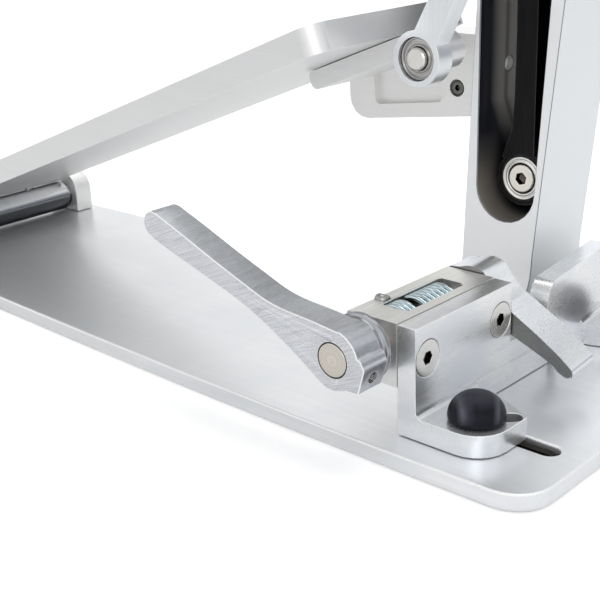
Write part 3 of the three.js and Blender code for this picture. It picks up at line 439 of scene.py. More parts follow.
# ---------------------------------------------------------------- other surfaces
def zinc_wire():
    """Bluish plated wire."""
    color = (0.62, 0.74, 0.78)
    s = Surface("zinc_wire")
    fine = s.noise(900, detail=4.0, rough=0.65)
    broad = s.noise(260, detail=2.0, rough=0.5)
    base = s.ramp(broad, [(0.35, shade(color, 0.82)), (0.5, color), (0.7, shade(color, 1.12))])
    base = s.mix(s.ramp(fine, [(0.55, 0.0), (0.8, 0.5)]), base, (0.55, 0.66, 0.70))
    roughness = s.add(s.mul(fine, 0.16), 0.22 - 0.06)
    return s.finish(base, roughness, 1.0, s.bump(fine, 0.00001, 0.6))


def moulded_rubber():
    """Near-black rubber with pale specks and painted sheen: soft highlight bands set out by the
    view.
    """
    s = Surface("moulded_rubber")
    fine = s.noise(1500, detail=5.0, rough=0.7)
    broad = s.noise(180, detail=4.0, rough=0.6)
    base = s.ramp(broad, [(0.3, (0.006, 0.0065, 0.010)), (0.6, (0.011, 0.012, 0.018)),
                          (0.85, (0.020, 0.021, 0.028))])
    speck = s.ramp(s.cells(1100), [(0.02, 1.0), (0.085, 0.0)])
    keep = s.ramp(s.noise(420, detail=1.0, rough=0.5, location=(5, 2, 8)),
                  [(0.58, 0.0), (0.66, 1.0)])
    base = s.mix(s.mul(s.mul(speck, keep), 0.5), base, (0.16, 0.16, 0.17))

    normal = s.normal()
    sideways = s.dot(normal, VIEW_RIGHT)
    upward = s.dot(normal, VIEW_UP)

    def unsigned(value):
        return s.add(s.mul(value, 0.5), 0.5)

    # Painted highlight bands left and right, placed by the normal's direction in the view
    sheen = s.ramp(unsigned(sideways),
                   [(0.12, 0.0), (0.21, 0.9), (0.30, 0.25), (0.42, 0.0), (0.70, 0.0),
                    (0.79, 0.75), (0.86, 0.10), (0.95, 0.0)])
    sheen = s.mul(sheen, s.ramp(unsigned(upward),
                                [(0.30, 0.0), (0.50, 0.8), (0.66, 1.0), (0.86, 0.55),
                                 (0.97, 0.1)]))
    # Painted highlight on the crown
    crown = s.mul(s.ramp(unsigned(upward), [(0.66, 0.0), (0.99, 1.0)]), 0.30)
    sheen = s.mul(s.add(sheen, crown), s.add(0.55, s.mul(broad, 0.9)))
    base = s.mix(sheen, base, (0.115, 0.12, 0.145))

    roughness = s.add(s.mul(fine, 0.22), s.add(0.30, s.mul(broad, 0.18)))
    height = s.add(s.mul(fine, 0.6), s.mul(broad, 0.8))
    return s.finish(base, s.sub(roughness, 0.04), 0.0, s.bump(height, 0.00004, 0.45),
                    specular=0.13)


def black_anodised():
    """Black metal with fine upright streaks and a painted highlight on its edges."""
    s = Surface("black_anodised")
    streaks = s.noise((1700, 1700, 60), detail=4.0, rough=0.6)
    broad = s.noise(60, detail=3.0, rough=0.5)
    base = s.ramp(streaks, [(0.3, (0.004, 0.0035, 0.004)), (0.7, (0.012, 0.011, 0.012))])
    # Painted highlight: paler edges
    base = s.paint_edge_highlight(base, 0.35, (0.30, 0.27, 0.26), radius=0.0005, gain=8)
    roughness = s.add(s.mul(streaks, 0.2), s.add(0.24, s.mul(broad, 0.12)))
    return s.finish(base, roughness, 0.75, s.bump(streaks, 0.000012, 0.6))


def pressed_felt():
    """Cream felt with a matted surface."""
    s = Surface("pressed_felt")
    fibres = s.noise(950, detail=8.0, rough=0.75, distortion=1.2)
    broad = s.noise(130, detail=4.0, rough=0.6)
    tufts = s.cells(620)
    base = s.ramp(fibres, [(0.25, (0.56, 0.52, 0.45)), (0.5, (0.78, 0.75, 0.68)),
                           (0.8, (0.90, 0.88, 0.82))])
    base = s.mix(s.ramp(broad, [(0.42, 0.0), (0.8, 0.35)]), base, (0.60, 0.57, 0.50))
    height = s.add(fibres, s.mul(tufts, 0.4))
    s.shader.inputs["Sheen Weight"].default_value = 0.5
    s.shader.inputs["Sheen Roughness"].default_value = 0.6
    return s.finish(base, 0.95, 0.0, s.bump(height, 0.0006, 0.7))


def painted_edge(name, color, rough, metal):
    """Narrow bevels painted lighter or darker than the faces they part: painted highlight or
    shade.
    """
    s = Surface(name)
    grain = s.noise(1400, detail=3.0, rough=0.6)
    base = s.ramp(grain, [(0.3, shade(color, 0.90)), (0.6, color)])
    roughness = s.add(s.mul(grain, 0.15), rough)
    return s.finish(base, roughness, metal, s.bump(grain, 0.000006, 0.5))


def pale_floor():
    """Pale matt floor, lifted towards white for the camera except in a painted shadow, a dark
    patch under the clamp end of the plate."""
    shadow_x, shadow_y = 0.012, -0.033
    shadow_half_x, shadow_half_y = 0.038, 0.022
    camera_lift = 0.34
    s = Surface("pale_floor")
    grain = s.noise(40, detail=3.0, rough=0.5)
    base = s.ramp(grain, [(0.3, (0.925, 0.925, 0.925)), (0.7, (0.94, 0.94, 0.94))])
    x, y, _ = s.split(s.position)
    away_x = s.math("ABSOLUTE", s.sub(x, shadow_x))
    away_y = s.math("ABSOLUTE", s.sub(y, shadow_y))
    outside = s.math("MAXIMUM", s.above(away_x, shadow_half_x), s.above(away_y, shadow_half_y))
    # Painted shadow: dark patch under the plate
    base = s.mix(outside, (0.06, 0.05, 0.04), base)
    camera_ray = s.node("ShaderNodeLightPath").outputs["Is Camera Ray"]
    lift = s.mul(s.mul(camera_ray, outside), camera_lift)
    s.shader.inputs["Emission Color"].default_value = (1, 1, 1, 1)
    s.feed(lift, s.shader.inputs["Emission Strength"])
    return s.finish(base, 0.9, 0.0, specular=0.05)


PLATE = brushed("plate_brushed", retone=plate_board_shadow)
BRACKET = brushed("bracket_ground")
# Near faces darkened and blued: painted shade from the lever
BLOCK = brushed("block_ground", side=(TO_NEAR, 0.35, (0.66, 0.68, 0.73)))
LEVER = brushed("lever_ground", retone=lever_tone)
# Near faces very dark: painted shade
JAW = brushed("jaw_ground", side=(TO_NEAR, 0.9, (0.22, 0.22, 0.21)))
# The +x faces a little darker as painted shade; the window's inside gets painted shade and
# highlight
POST = brushed("post_fine", side=((1, 0, 0), 0.9, (0.84, 0.865, 0.88)), retone=window_painted_shade)
BOARD = brushed("board_brushed")
REAR = brushed("rear_block_satin")
LINK = brushed("link_satin")
# Painted shade for the collar on the lever's far face
COLLAR_SHADE = brushed("collar_painted_shade")
# Downward faces of the hinge shaft get painted shade
CHROME_SHAFT = chrome("chrome_shaft", 0.09, at(-316, 54, 8.6), ALONG_Y, rings=700,
                      contrast=0.04, shade_below=True)
CHROME_AXLE = chrome("chrome_axle", 0.10, at(AXLE_X, 100, AXLE_Z), ALONG_Y, rings=900,
                     contrast=0.05)
CHROME_ROD = chrome("chrome_rod", 0.10, BEATER_PIVOT, BEATER_UP, rings=900, contrast=0.05)
CORE = turned("core_turned", (0.72, 0.73, 0.74), 0.28, HEAD_CENTRE, BEATER_FORWARD,
              rings=2200, contrast=0.1)
SHAFT = turned("shaft_turned", (0.70, 0.655, 0.585), 0.24, at(SHAFT_X, 25, SHAFT_Z), ALONG_Y,
               rings=2600, contrast=0.20, edge=0.5, bump=0.000012)
ZINC = zinc_wire()
RUBBER = moulded_rubber()
BLACK = black_anodised()
FELT = pressed_felt()
# Bevel materials: painted highlights, bright and soft, and a dark painted shade line
EDGE_HIGHLIGHT = painted_edge("edge_painted_highlight", (1.0, 1.0, 1.0), rough=0.28, metal=0.25)
EDGE_SOFT_HIGHLIGHT = painted_edge("edge_soft_highlight", (0.93, 0.935, 0.94), rough=0.30, metal=0.45)
EDGE_SHADE = painted_edge("edge_painted_shade", (0.30, 0.31, 0.33), rough=0.35, metal=0.7)


# ---------------------------------------------------------------- mesh helpers
def add_object(bm, name, material):
    """Turns a bmesh into a smooth-shaded object in the scene."""
    bmesh.ops.recalc_face_normals(bm, faces=bm.faces[:])
    mesh = bpy.data.meshes.new(name)
    bm.to_mesh(mesh)
    bm.free()
    for face in mesh.polygons:
        face.use_smooth = True
    obj = bpy.data.objects.new(name, mesh)
    bpy.context.scene.collection.objects.link(obj)
    if material is not None:
        mesh.materials.append(material)
    return obj


def apply_modifiers(obj):
    depsgraph = bpy.context.evaluated_depsgraph_get()
    mesh = bpy.data.meshes.new_from_object(obj.evaluated_get(depsgraph))
    obj.modifiers.clear()
    obj.data = mesh


def boolean(obj, tool, operation="DIFFERENCE"):
    """Cuts or joins a tool object, then removes it."""
    modifier = obj.modifiers.new("cut", "BOOLEAN")
    modifier.operation = operation
    modifier.solver = "EXACT"
    modifier.object = tool
    apply_modifiers(obj)
    bpy.data.objects.remove(tool)


def shade_smoothly(obj):
    """Keeps large faces flat under smooth shading."""
    normals = obj.modifiers.new("normals", "WEIGHTED_NORMAL")
    normals.keep_sharp = False
    normals.weight = 60


def break_edges(obj, width, angle, segments=2, edge=None, clamp=True, clean=True):
    """Bevels edges sharper than angle (degrees) by width (mm), in the edge material if given."""
    if clean:
        weld = obj.modifiers.new("weld", "WELD")
        weld.merge_threshold = 2e-6
        planar = obj.modifiers.new("planar", "DECIMATE")
        planar.decimate_type = "DISSOLVE"
        planar.angle_limit = math.radians(0.3)
    bevel = obj.modifiers.new("edge", "BEVEL")
    bevel.width = width / 1000
    bevel.limit_method = "ANGLE"
    bevel.angle_limit = math.radians(angle)
    bevel.segments = segments
    bevel.use_clamp_overlap = clamp
    if edge is not None:
        obj.data.materials.append(edge)
        bevel.material = len(obj.data.materials) - 1
    bevel.miter_outer = "MITER_ARC"
    shade_smoothly(obj)


def dress(name, material, width, angle, segments=2, edge=None, clamp=True):
    """Gives a CAD piece its material and broken edges."""
    obj = NODES[name]
    mesh = obj.data
    mesh.materials.clear()
    mesh.materials.append(material)
    custom_normal = mesh.attributes.get("custom_normal")
    if custom_normal is not None:
        mesh.attributes.remove(custom_normal)
    for face in mesh.polygons:
        face.use_smooth = True
    break_edges(obj, width, angle, segments, edge, clamp)


def lathe(name, profile, material, pos, axis, sides, spin=0.0, closed=False):
    """Revolves (radius, height) mm about axis through pos. An open profile starts and ends on
    the axis; a closed one makes a ring."""
    bm = bmesh.new()
    rings = []
    for radius, height in profile:
        if radius < 1e-6:
            rings.append([bm.verts.new((0, 0, height / 1000))])
            continue
        angles = [2 * math.pi * i / sides + spin for i in range(sides)]
        rings.append([bm.verts.new((radius / 1000 * math.cos(angle),
                                    radius / 1000 * math.sin(angle), height / 1000))
                      for angle in angles])
    pairs = list(zip(rings[:-1], rings[1:]))
    if closed:
        pairs.append((rings[-1], rings[0]))
    for a, b in pairs:
        for i in range(sides):
            j = (i + 1) % sides
            if len(a) == 1:
                bm.faces.new((a[0], b[i], b[j]))
            elif len(b) == 1:
                bm.faces.new((a[i], a[j], b[0]))
            else:
                bm.faces.new((a[i], a[j], b[j], b[i]))
    turn = Vector(UP).rotation_difference(Vector(axis).normalized())
    bmesh.ops.transform(bm, matrix=Matrix.Translation(pos) @ turn.to_matrix().to_4x4(),
                        verts=bm.verts[:])
    return add_object(bm, name, material)


def prism(name, outline, y_near, y_far, material):
    """Sweeps a closed (x, z) outline, in mm, along y."""
    bm = bmesh.new()
    near = [bm.verts.new(at(x, y_near, z)) for x, z in outline]
    far = [bm.verts.new(at(x, y_far, z)) for x, z in outline]
    bm.faces.new(near)
    bm.faces.new(list(reversed(far)))
    for i in range(len(outline)):
        j = (i + 1) % len(outline)
        bm.faces.new((near[i], near[j], far[j], far[i]))
    return add_object(bm, name, material)


def tube(name, path, radius, material, sides):
    """A round wire along a path (metres), with closed ends."""
    bm = bmesh.new()
    rings = []
    across = None
    for i, point in enumerate(path):
        ahead = (path[min(i + 1, len(path) - 1)] - path[max(i - 1, 0)]).normalized()
        if across is None:
            across = ahead.orthogonal().normalized()
        else:
            across = (across - ahead * across.dot(ahead)).normalized()
        other = ahead.cross(across)
        angles = [2 * math.pi * k / sides for k in range(sides)]
        rings.append([bm.verts.new(point + (across * math.cos(angle)
                                            + other * math.sin(angle)) * radius)
                      for angle in angles])
    for a, b in zip(rings[:-1], rings[1:]):
        for k in range(sides):
            j = (k + 1) % sides
            bm.faces.new((a[k], a[j], b[j], b[k]))
    bm.faces.new(rings[0])
    bm.faces.new(list(reversed(rings[-1])))
    return add_object(bm, name, material)


def cylinder(pos, axis, radius, start, end, sides):
    """Cylinder used as a cutter."""
    profile = [(0, start), (radius, start), (radius, end), (0, end)]
    return lathe("cylinder_tool", profile, None, pos, axis, sides)


def hex_socket(pos, axis, flats, depth, spin):
    """Hexagonal cutter, flats wide, with a small cone at its floor."""
    corner = flats / math.sqrt(3)
    profile = [(0, -depth - corner * 0.45), (corner * 0.98, -depth), (corner, 2.0), (0, 2.0)]
    return lathe("socket_tool", profile, None, pos, axis, 6, spin)


def spline(points, samples):
    """Centripetal Catmull-Rom through (a, b) points, with about that many samples."""
    knots = [Vector(point) for point in points]
    knots = [knots[0] * 2 - knots[1]] + knots + [knots[-1] * 2 - knots[-2]]
    spans = len(knots) - 3
    steps = max(2, round(samples / spans))
    curve = []
    for span in range(spans):
        p = knots[span:span + 4]
        times = [0.0]
        for a, b in zip(p[:-1], p[1:]):
            times.append(times[-1] + max((b - a).length, 1e-6) ** 0.5)
        t0, t1, t2, t3 = times
        for i in range(steps):
            t = t1 + (t2 - t1) * i / steps

            def between(a, b, start, end):
                return a * ((end - t) / (end - start)) + b * ((t - start) / (end - start))

            a1 = between(p[0], p[1], t0, t1)
            a2 = between(p[1], p[2], t1, t2)
            a3 = between(p[2], p[3], t2, t3)
            b1 = between(a1, a2, t0, t2)
            b2 = between(a2, a3, t1, t3)
            curve.append(tuple(between(b1, b2, t1, t2)))
    curve.append(tuple(knots[-2]))
    return curve


def shaft_arc(radius, start, end, steps):
    """(x, z) points about the clamp shaft's axis, angles in degrees."""
    angles = [math.radians(start + (end - start) * i / steps) for i in range(steps + 1)]
    return [(SHAFT_X + radius * math.cos(angle), SHAFT_Z + radius * math.sin(angle))
            for angle in angles]


def place(obj, body, node):
    """Tells the frame what the object moves with and what it replaces."""
    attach(obj, body)
    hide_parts(node)


# ---------------------------------------------------------------- CAD pieces that keep their shape
# Small steel pieces: name, point on the axis (working mm), axis
STEEL_PIECES = (
    ("post_bolt_1", (-37, 112, -6), (0, 0, -1)),
    ("post_bolt_2", (-17, 126, -6), (0, 0, -1)),
    ("post_bolt_3", (-29, 90, -6), (0, 0, -1)),
    ("far_bracket_bolt", (13.2, 113.5, -6), (0, 0, -1)),
    ("bracket_bolt", (12.6, 22.7, -6), (0, 0, -1)),
    ("base_hinge_screw_near", (-325.7, 3.2, -6), (0, 0, -1)),
    ("base_hinge_screw_far", (-325.7, 105.7, -6), (0, 0, -1)),
    ("spring_seat_screw", (-24, 137, 146), ALONG_Y),
    ("rear_block_bolt", (-112, 121, 104), (-1, 0, 0)),
    ("toe_pin", (-26.3, 44, 117.4), TO_NEAR),
    ("spring_crank_pin", (-25.5, 110, 185.1), TO_NEAR),
    ("bumper_stud_near", (22.9, 12.9, 8), UP),
    ("bumper_stud_far", (21, 127, 8), UP),
    ("lever_grub", (-0.9, -15, 28), (0.96, 0, -0.27)),
    ("axle_bearing_near", (AXLE_X, 103, AXLE_Z), ALONG_Y),
    ("axle_bearing_far", (AXLE_X, 134, AXLE_Z), ALONG_Y),
    ("beater_rod_screw", (0, 77, 200), (0.72, 0, 0.69)),
)
for piece, centre, axis in STEEL_PIECES:
    dress(piece, steel(piece, at(*centre), axis), 0.12, 35)

# name, material, bevel width (mm), bevel angle (degrees), and where they differ from the usual:
# segments, edge material (painted highlight or shade on the bevels), whether overlaps are clamped
DRESSED = (
    ("base_plate", PLATE, 0.7, 40, 1, EDGE_HIGHLIGHT, False),
    ("footboard", BOARD, 0.5, 40, 2, EDGE_SOFT_HIGHLIGHT),
    ("heel_stop", BOARD, 0.5, 30),
    ("hinge_bracket_near", REAR, 0.4, 35),
    ("hinge_bracket_far", REAR, 0.4, 35),
    ("hinge_shaft", CHROME_SHAFT, 0.3, 35),
    ("toe_bracket", BOARD, 0.5, 30),
    ("post", POST, 0.3, 40, 1, EDGE_SHADE, False),
    ("rear_block", REAR, 0.7, 33, 3, EDGE_SOFT_HIGHLIGHT),
    ("drive_link", LINK, 0.35, 35),
    ("drive_crank", LINK, 0.4, 35),
    ("spring_crank", LINK, 0.4, 35),
    ("spring_carriage", LINK, 0.4, 35),
    ("spring_seat", LINK, 0.4, 35),
    ("beater_hub", LINK, 0.35, 35),
    ("beater_axle", CHROME_AXLE, 0.2, 35),
    ("clamp_bracket", BRACKET, 0.22, 50, 1, EDGE_HIGHLIGHT, False),
    ("clamp_block", BLOCK, 0.3, 33, 2, EDGE_SOFT_HIGHLIGHT),
    ("far_bracket", BRACKET, 0.45, 33, 2, EDGE_HIGHLIGHT),
    ("pull_rod", BLACK, 0.5, 35),
    ("beater_rod", CHROME_ROD, 0.2, 35),
    ("beater_core", CORE, 0.5, 35, 3),
)
for row in DRESSED:
    dress(*row)


# ---------------------------------------------------------------- springs
def torsion_spring():
    """Two windings about the clamp shaft, joined by a stretched part-turn."""
    coil_radius = 8.15
    steps_per_turn = 44
    start = 0.4
    gap = 0.55  # angle passed between the windings
    path = []
    for y_start, y_end, turns in ((12.1, 17.4, 2.4), (21.4, 39.6, 7.1)):
        steps = int(turns * steps_per_turn)
        for i in range(steps + 1):
            t = i / steps
            angle = start + 2 * math.pi * turns * t
            path.append(at(SHAFT_X + coil_radius * math.cos(angle),
                           y_start + (y_end - y_start) * t,
                           SHAFT_Z + coil_radius * math.sin(angle)))
        start += 2 * math.pi * turns + gap
    wire = tube("torsion_spring_wire", path, 0.00104, ZINC, sides=18)
    place(wire, "clamp_bracket", "torsion_spring")


def return_spring():
    """Upright coil with closely wound ends, stretched between the pull rod and the base."""
    x, y, bottom, top = -23.6, 124.8, 74, 139.6
    coil_radius = 5
    turns, steps_per_turn = 9, 40
    end_turns, end_rise = 0.08, 0.03  # each end's share of the turns and of the height
    path = []
    for i in range(turns * steps_per_turn + 1):
        turn = i / steps_per_turn
        share = turn / turns
        middle = max(0.0, min(1.0, (share - end_turns) / (1 - 2 * end_turns)))
        rise = (middle * (1 - 2 * end_rise) + end_rise * min(1, share / end_turns)
                + end_rise * max(0, (share - (1 - end_turns)) / end_turns))
        path.append(at(x + coil_radius * math.cos(2 * math.pi * turn),
                       y + coil_radius * math.sin(2 * math.pi * turn),
                       bottom + (top - bottom) * rise))
    wire = tube("return_spring_wire", path, 0.001, ZINC, sides=12)
    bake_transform(wire)
    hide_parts("return_spring")


torsion_spring()
return_spring()


# ---------------------------------------------------------------- rubber bumpers
def bumper(name, node, body):
    """Rubber dome with faint moulding rings near its crown."""
    radius, shoulder, rise = 9.75, 1.4, 8.35
    dome_steps = 24
    profile = [(0, 0.02), (8.9, 0.02), (9.4, 0.22), (9.68, 0.8), (radius, 1.5)]
    for k in range(1, dome_steps + 1):
        angle = math.pi / 2 * k / dome_steps
        profile.append((radius * math.cos(angle) ** 0.94, shoulder + rise * math.sin(angle)))

    dense = []
    for (r1, h1), (r2, h2) in zip(profile[:-1], profile[1:]):
        parts = 3 if h1 > 6 else 1
        for i in range(parts):
            t = i / parts
            r, h = r1 + (r2 - r1) * t, h1 + (h2 - h1) * t
            if r < 5.0:
                fade = min(1.0, (5.0 - r) / 1.5)
                h += 0.016 * math.sin(r * 5.2) * fade * min(1.0, r)
            dense.append((r, h))
    dense.append((0, shoulder + rise))

    low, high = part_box(node)
    centre = (low + high) / 2 + Vector((0.35, -0.4, 0)) / 1000
    dome = lathe(name, dense, RUBBER, Vector((centre.x, centre.y, low.z)), UP, 72)
    place(dome, body, node)


bumper("bumper_dome_near", "bumper_near", "bumper_near")
bumper("bumper_dome_far", "bumper_far", "far_bracket")


# ---------------------------------------------------------------- screws
def thread(radius, start, stop):
    """Profile of a screw thread running down from start."""
    pitch, depth = 0.8, 0.3
    points = []
    height = start
    while height > stop + pitch:
        points += [(radius, height), (radius - depth, height - pitch / 2)]
        height -= pitch
    return points


def socketed(name, node, body, pos, axis, profile, material, flats, depth, spin, edge):
    """Turned piece with a hexagon socket in its end."""
    obj = lathe(name, profile, material, pos, axis, 56)
    boolean(obj, hex_socket(pos, axis, flats, depth, spin))
    break_edges(obj, edge, 32)
    place(obj, body, node)


def socket_shade(flats):
    """Radius, in metres, of the dark patch of painted shade that covers a socket."""
    return flats / 1000 / math.sqrt(3) * 1.04


def flat_screw(node, body, pos, axis, head, shank, length, flats, spin):
    """Countersunk screw; head and shank are radii."""
    name = node + "_turned"
    cone = head - shank
    profile = [(0, 0), (head - 0.35, 0), (head - 0.08, -0.10), (head, -0.35),
               (head - 0.02, -0.6), (shank + 0.05, -0.55 - cone), (shank, -0.75 - cone)]
    profile += thread(shank, -1.0 - cone, -length)
    profile += [(shank - 0.5, -length), (0, -length)]
    # Painted shade in the socket and a dark painted ring on the head's rim
    material = steel(name, pos, axis, (0.88, 0.865, 0.83), 0.25,
                     socket=socket_shade(flats), rim=(head - 0.22) / 1000)
    socketed(name, node, body, pos, axis, profile, material, flats, 2.6, spin, 0.12)


def cap_screw(name, node, body, pos, head, head_height, shank, length, flats, spin,
              color, rough):
    """Cylinder-headed screw facing the near side; head and shank are radii."""
    end = -head_height - length
    profile = [(0, 0), (head - 0.7, 0), (head - 0.2, -0.2), (head, -0.7),
               (head, -head_height + 0.2), (head - 0.2, -head_height), (shank, -head_height)]
    profile += thread(shank, -head_height - 0.5, end)
    profile += [(shank - 0.4, end), (0, end)]
    # Painted shade in the socket
    material = steel(name, pos, TO_NEAR, color, rough, socket=socket_shade(flats))
    socketed(name, node, body, pos, TO_NEAR, profile, material, flats, head_height * 0.62,
             spin, 0.15)


for node, y, spin in (("clamp_screw_near", 6.8, 0.5), ("clamp_screw_far", 49.6, 0.2)):
    flat_screw(node, "clamp_bracket", at(7.42, y, 28.04), (1, 0, 0),
               head=6.5, shank=3.1, length=10.6, flats=4.4, spin=spin)

cap_screw("pull_screw_cap", "pull_screw", "pull_rod", at(-23.5, 108.9, 61.6),
          head=5.7, head_height=4.4, shank=3.0, length=13.1, flats=4.5, spin=0.3,
          color=(0.80, 0.77, 0.70), rough=0.18)
cap_screw("rear_screw_cap", "rear_block_screw", "base", at(-56.9, 112.3, 93.5),
          head=2.98, head_height=3.0, shank=2.2, length=8.4, flats=2.4, spin=0.1,
          color=(0.17, 0.165, 0.15), rough=0.30)


def pull_washer():
    """Grooved washer under the pull screw."""
    profile = [(6.1, 0), (6.1, 2.2), (6.35, 2.5), (6.9, 2.6), (7.2, 2.25), (7.6, 2.25),
               (7.9, 2.6), (8.5, 2.6), (8.8, 2.3), (8.8, 0.2), (8.6, 0)]
    material = steel("washer", at(-23.5, 109, 61.6), TO_NEAR, (0.78, 0.77, 0.74), 0.2)
    washer = lathe("pull_washer_ring", profile, material, at(-23.5, 111.85, 61.6), TO_NEAR,
                   72, closed=True)
    shade_smoothly(washer)
    place(washer, "pull_rod", "pull_washer")


pull_washer()

BOARD_SLOPE = math.radians(21)
BOARD_NORMAL = Vector((-math.sin(BOARD_SLOPE), 0, math.cos(BOARD_SLOPE)))


def on_board(along, y, height):
    """A point measured along the sloping footboard from its heel and square to it."""
    return at(-361.2 + along * math.cos(BOARD_SLOPE) - height * math.sin(BOARD_SLOPE), y,
              along * math.sin(BOARD_SLOPE) + height * math.cos(BOARD_SLOPE))


# Pairs of board screws: name, distance along the board, y of each, length, spin between the two
for kind, along, places, length, spin_step in (("hinge", 45.6, (30, 79), 14, 0.3),
                                               ("toe", 309, (62, 80), 15, 0.4)):
    for i, y in enumerate(places):
        flat_screw(f"{kind}_screw_{i + 1}", "footboard", on_board(along, y, 9.95),
                   BOARD_NORMAL, head=4.98, shank=2.5, length=length, flats=3,
                   spin=spin_step * i)


# ---------------------------------------------------------------- clamp shaft and spring anchor
def clamp_shaft():
    radius, end = 5.97, -92.6
    profile = [(0, 0.02), (0.5, 0.0), (0.7, -0.06), (2.6, -0.02), (5.2, 0.0), (5.65, -0.05),
               (radius, -0.4), (radius, -92.2), (5.6, end), (0, end)]
    shaft = lathe("clamp_shaft_turned", profile, SHAFT, at(SHAFT_X, -21.25, SHAFT_Z), TO_NEAR,
                  96)
    # The profile's heights fall, so facing the near side the shaft runs towards the far side
    shade_smoothly(shaft)
    place(shaft, "clamp_lever", "clamp_shaft")


def spring_anchor():
    pos, axis = at(-21, 15.4, 39.9), (-1, 0, 0)
    profile = [(0, 0), (1.35, 0), (1.75, -0.25), (2.03, -0.9), (2.03, -4.4), (0, -4.4)]
    pin = lathe("spring_anchor_pin_turned", profile,
                steel("anchor", pos, axis, (0.46, 0.45, 0.43), 0.28), pos, axis, 48)
    place(pin, "clamp_bracket", "spring_anchor_pin")


clamp_shaft()
spring_anchor()

# ---------------------------------------------------------------- hand lever
SHAFT_BORE = 6.27        # radius of the bores in the lever and the jaw
LEVER_HUB = 10.88        # radius of the lever about the shaft
GRUB_AXIS = unit(-16)
GRUB_MOUTH = at(1.9, -15, 27.2)

# (x, z) points, in mm: from the hub along the top, round the tip, back along the underside
LEVER_TOP = [(-7.9, 42.2), (-18.9, 43.5), (-33.3, 44.8), (-40.5, 46.4), (-50.7, 50.1),
             (-65.4, 55.7), (-79, 61.2), (-92.6, 66.4)]
LEVER_TIP = [(-92.6, 66.4), (-95.6, 66.6), (-98.2, 64.9), (-99.2, 61.8), (-97.6, 58.6),
             (-94, 56.4)]
LEVER_UNDERSIDE = [(-94, 56.4), (-84, 52.9), (-69.5, 48.4), (-51.2, 42.3), (-41.5, 38.1),
                   (-32.4, 33.2), (-24, 28.2), (-17.6, 23.9)]
LEVER_BOSS = [(-4.2, 22.5), (0.55, 22.75), (3.15, 31.6), (1.6, 34.4)]
# (radius, height) of the collar on the lever's far face
COLLAR_PROFILE = [(0, 0), (10.7, 0), (10.75, 1.3), (11.1, 1.65), (11.7, 1.75), (11.98, 2.0),
                  (11.98, 3.4), (11.7, 3.6), (0, 3.6)]


def grub_hole():
    """Threaded cutter for the hole in the boss."""
    inner, outer, pitch = 2.2, 2.55, 0.5
    profile = [(0, -8.5), (inner, -8.5)]
    height = -8.3
    while height < 2.0:
        profile += [(outer, height), (inner, height + pitch / 2), (outer, height + pitch)]
        height += pitch
    profile += [(2.6, 2.4), (0, 2.4)]
    return lathe("thread_tool", profile, None, GRUB_MOUTH, GRUB_AXIS, 40)


def hand_lever():
    outline = (spline(LEVER_TOP, 56) + spline(LEVER_TIP, 30)[1:]
               + spline(LEVER_UNDERSIDE, 56)[1:] + shaft_arc(LEVER_HUB, 230, 279, 12)
               + LEVER_BOSS + shaft_arc(LEVER_HUB, 16, 75, 16))
    lever = prism("hand_lever_arm", outline, -21, -9, LEVER)
    lever.data.materials.append(COLLAR_SHADE)
    lever.data.materials.append(EDGE_HIGHLIGHT)
    # Bevel faces take slot 2, a painted highlight along the edges
    bevel = lever.modifiers.new("edge", "BEVEL")
    bevel.width = 0.00030
    bevel.limit_method = "ANGLE"
    bevel.angle_limit = math.radians(66)
    bevel.segments = 2
    bevel.material = 2
    apply_modifiers(lever)

    boolean(lever, lathe("collar_tool", COLLAR_PROFILE, None, at(SHAFT_X, -9.02, SHAFT_Z),
                         ALONG_Y, 72), "UNION")
    boolean(lever, cylinder(at(SHAFT_X, 0, SHAFT_Z), ALONG_Y, SHAFT_BORE, -40, 20, 72))
    boolean(lever, grub_hole())

    # The booleans may leave extra slots; the dark thread, painted shade in the grub hole, has to
    # be slot 3
    materials = lever.data.materials
    while len(materials) > 3:
        materials.pop()
    materials.append(turned("thread_painted_shade", (0.055, 0.048, 0.040), 0.3, GRUB_MOUTH, GRUB_AXIS,
                            rings=900, contrast=0.1, edge=0.8))
    vertices = lever.data.vertices
    # Faces beyond collar_start take slot 1, the collar's painted shade
    collar_start = at(0, -8.96, 0).y
    for face in lever.data.polygons:
        arms = [vertices[i].co - GRUB_MOUTH for i in face.vertices]
        in_hole = all((arm - GRUB_AXIS * arm.dot(GRUB_AXIS)).length < 0.0029 for arm in arms)
        if in_hole and face.area < 3e-6:
            face.material_index = 3
        elif face.center.y > collar_start:
            face.material_index = 1
    break_edges(lever, 0.1, 50, 1, clean=False)
    place(lever, "clamp_lever", "hand_lever")


def grub_screw():
    """Dark screw sunk in the threaded hole."""
    material = turned("grub_dark", (0.03, 0.028, 0.026), 0.35, GRUB_MOUTH, GRUB_AXIS,
                      rings=1500, contrast=0.1, edge=0.1)
    profile = [(0, 0), (1.7, 0), (2.1, -0.4), (2.1, -3.0), (0, -3.0)]
    grub = lathe("lever_grub_screw", profile, material, GRUB_MOUTH - GRUB_AXIS * 0.0052,
                 GRUB_AXIS, 32)
    place(grub, "clamp_lever", "lever_grub")


hand_lever()
grub_screw()

# ---------------------------------------------------------------- jaw
JAW_HUB = 10.4  # radius of the jaw about the shaft

# (x, z) points, in mm
JAW_TOP = [(3.6, 32.0), (10.1, 28.4), (18.7, 23.5), (27.1, 18.2), (31.2, 15.1)]
JAW_UNDERSIDE = [(2.5, 21.6), (9, 19.1), (16, 16.3), (22.6, 13.5), (25.3, 12.1)]
JAW_TIP_START = (26.5, 10.9)
JAW_TIP = [(27.2, 10.4), (29.0, 9.55), (30.6, 9.2), (32.0, 10.0), (32.8, 12.2), (32.5, 13.8),
           (31.2, 15.1)]
JAW_LUG = [(-14.8, 41.3), (-16.6, 40.9), (-18.6, 40.7), (-20.3, 40.3), (-21.2, 39.0),
           (-21.2, 37.2), (-20.8, 35.0)]
JAW_NECK = [(3.6, 32.0), (1.0, 33.8), (-1.6, 36.4), (-3.6, 39.0)]


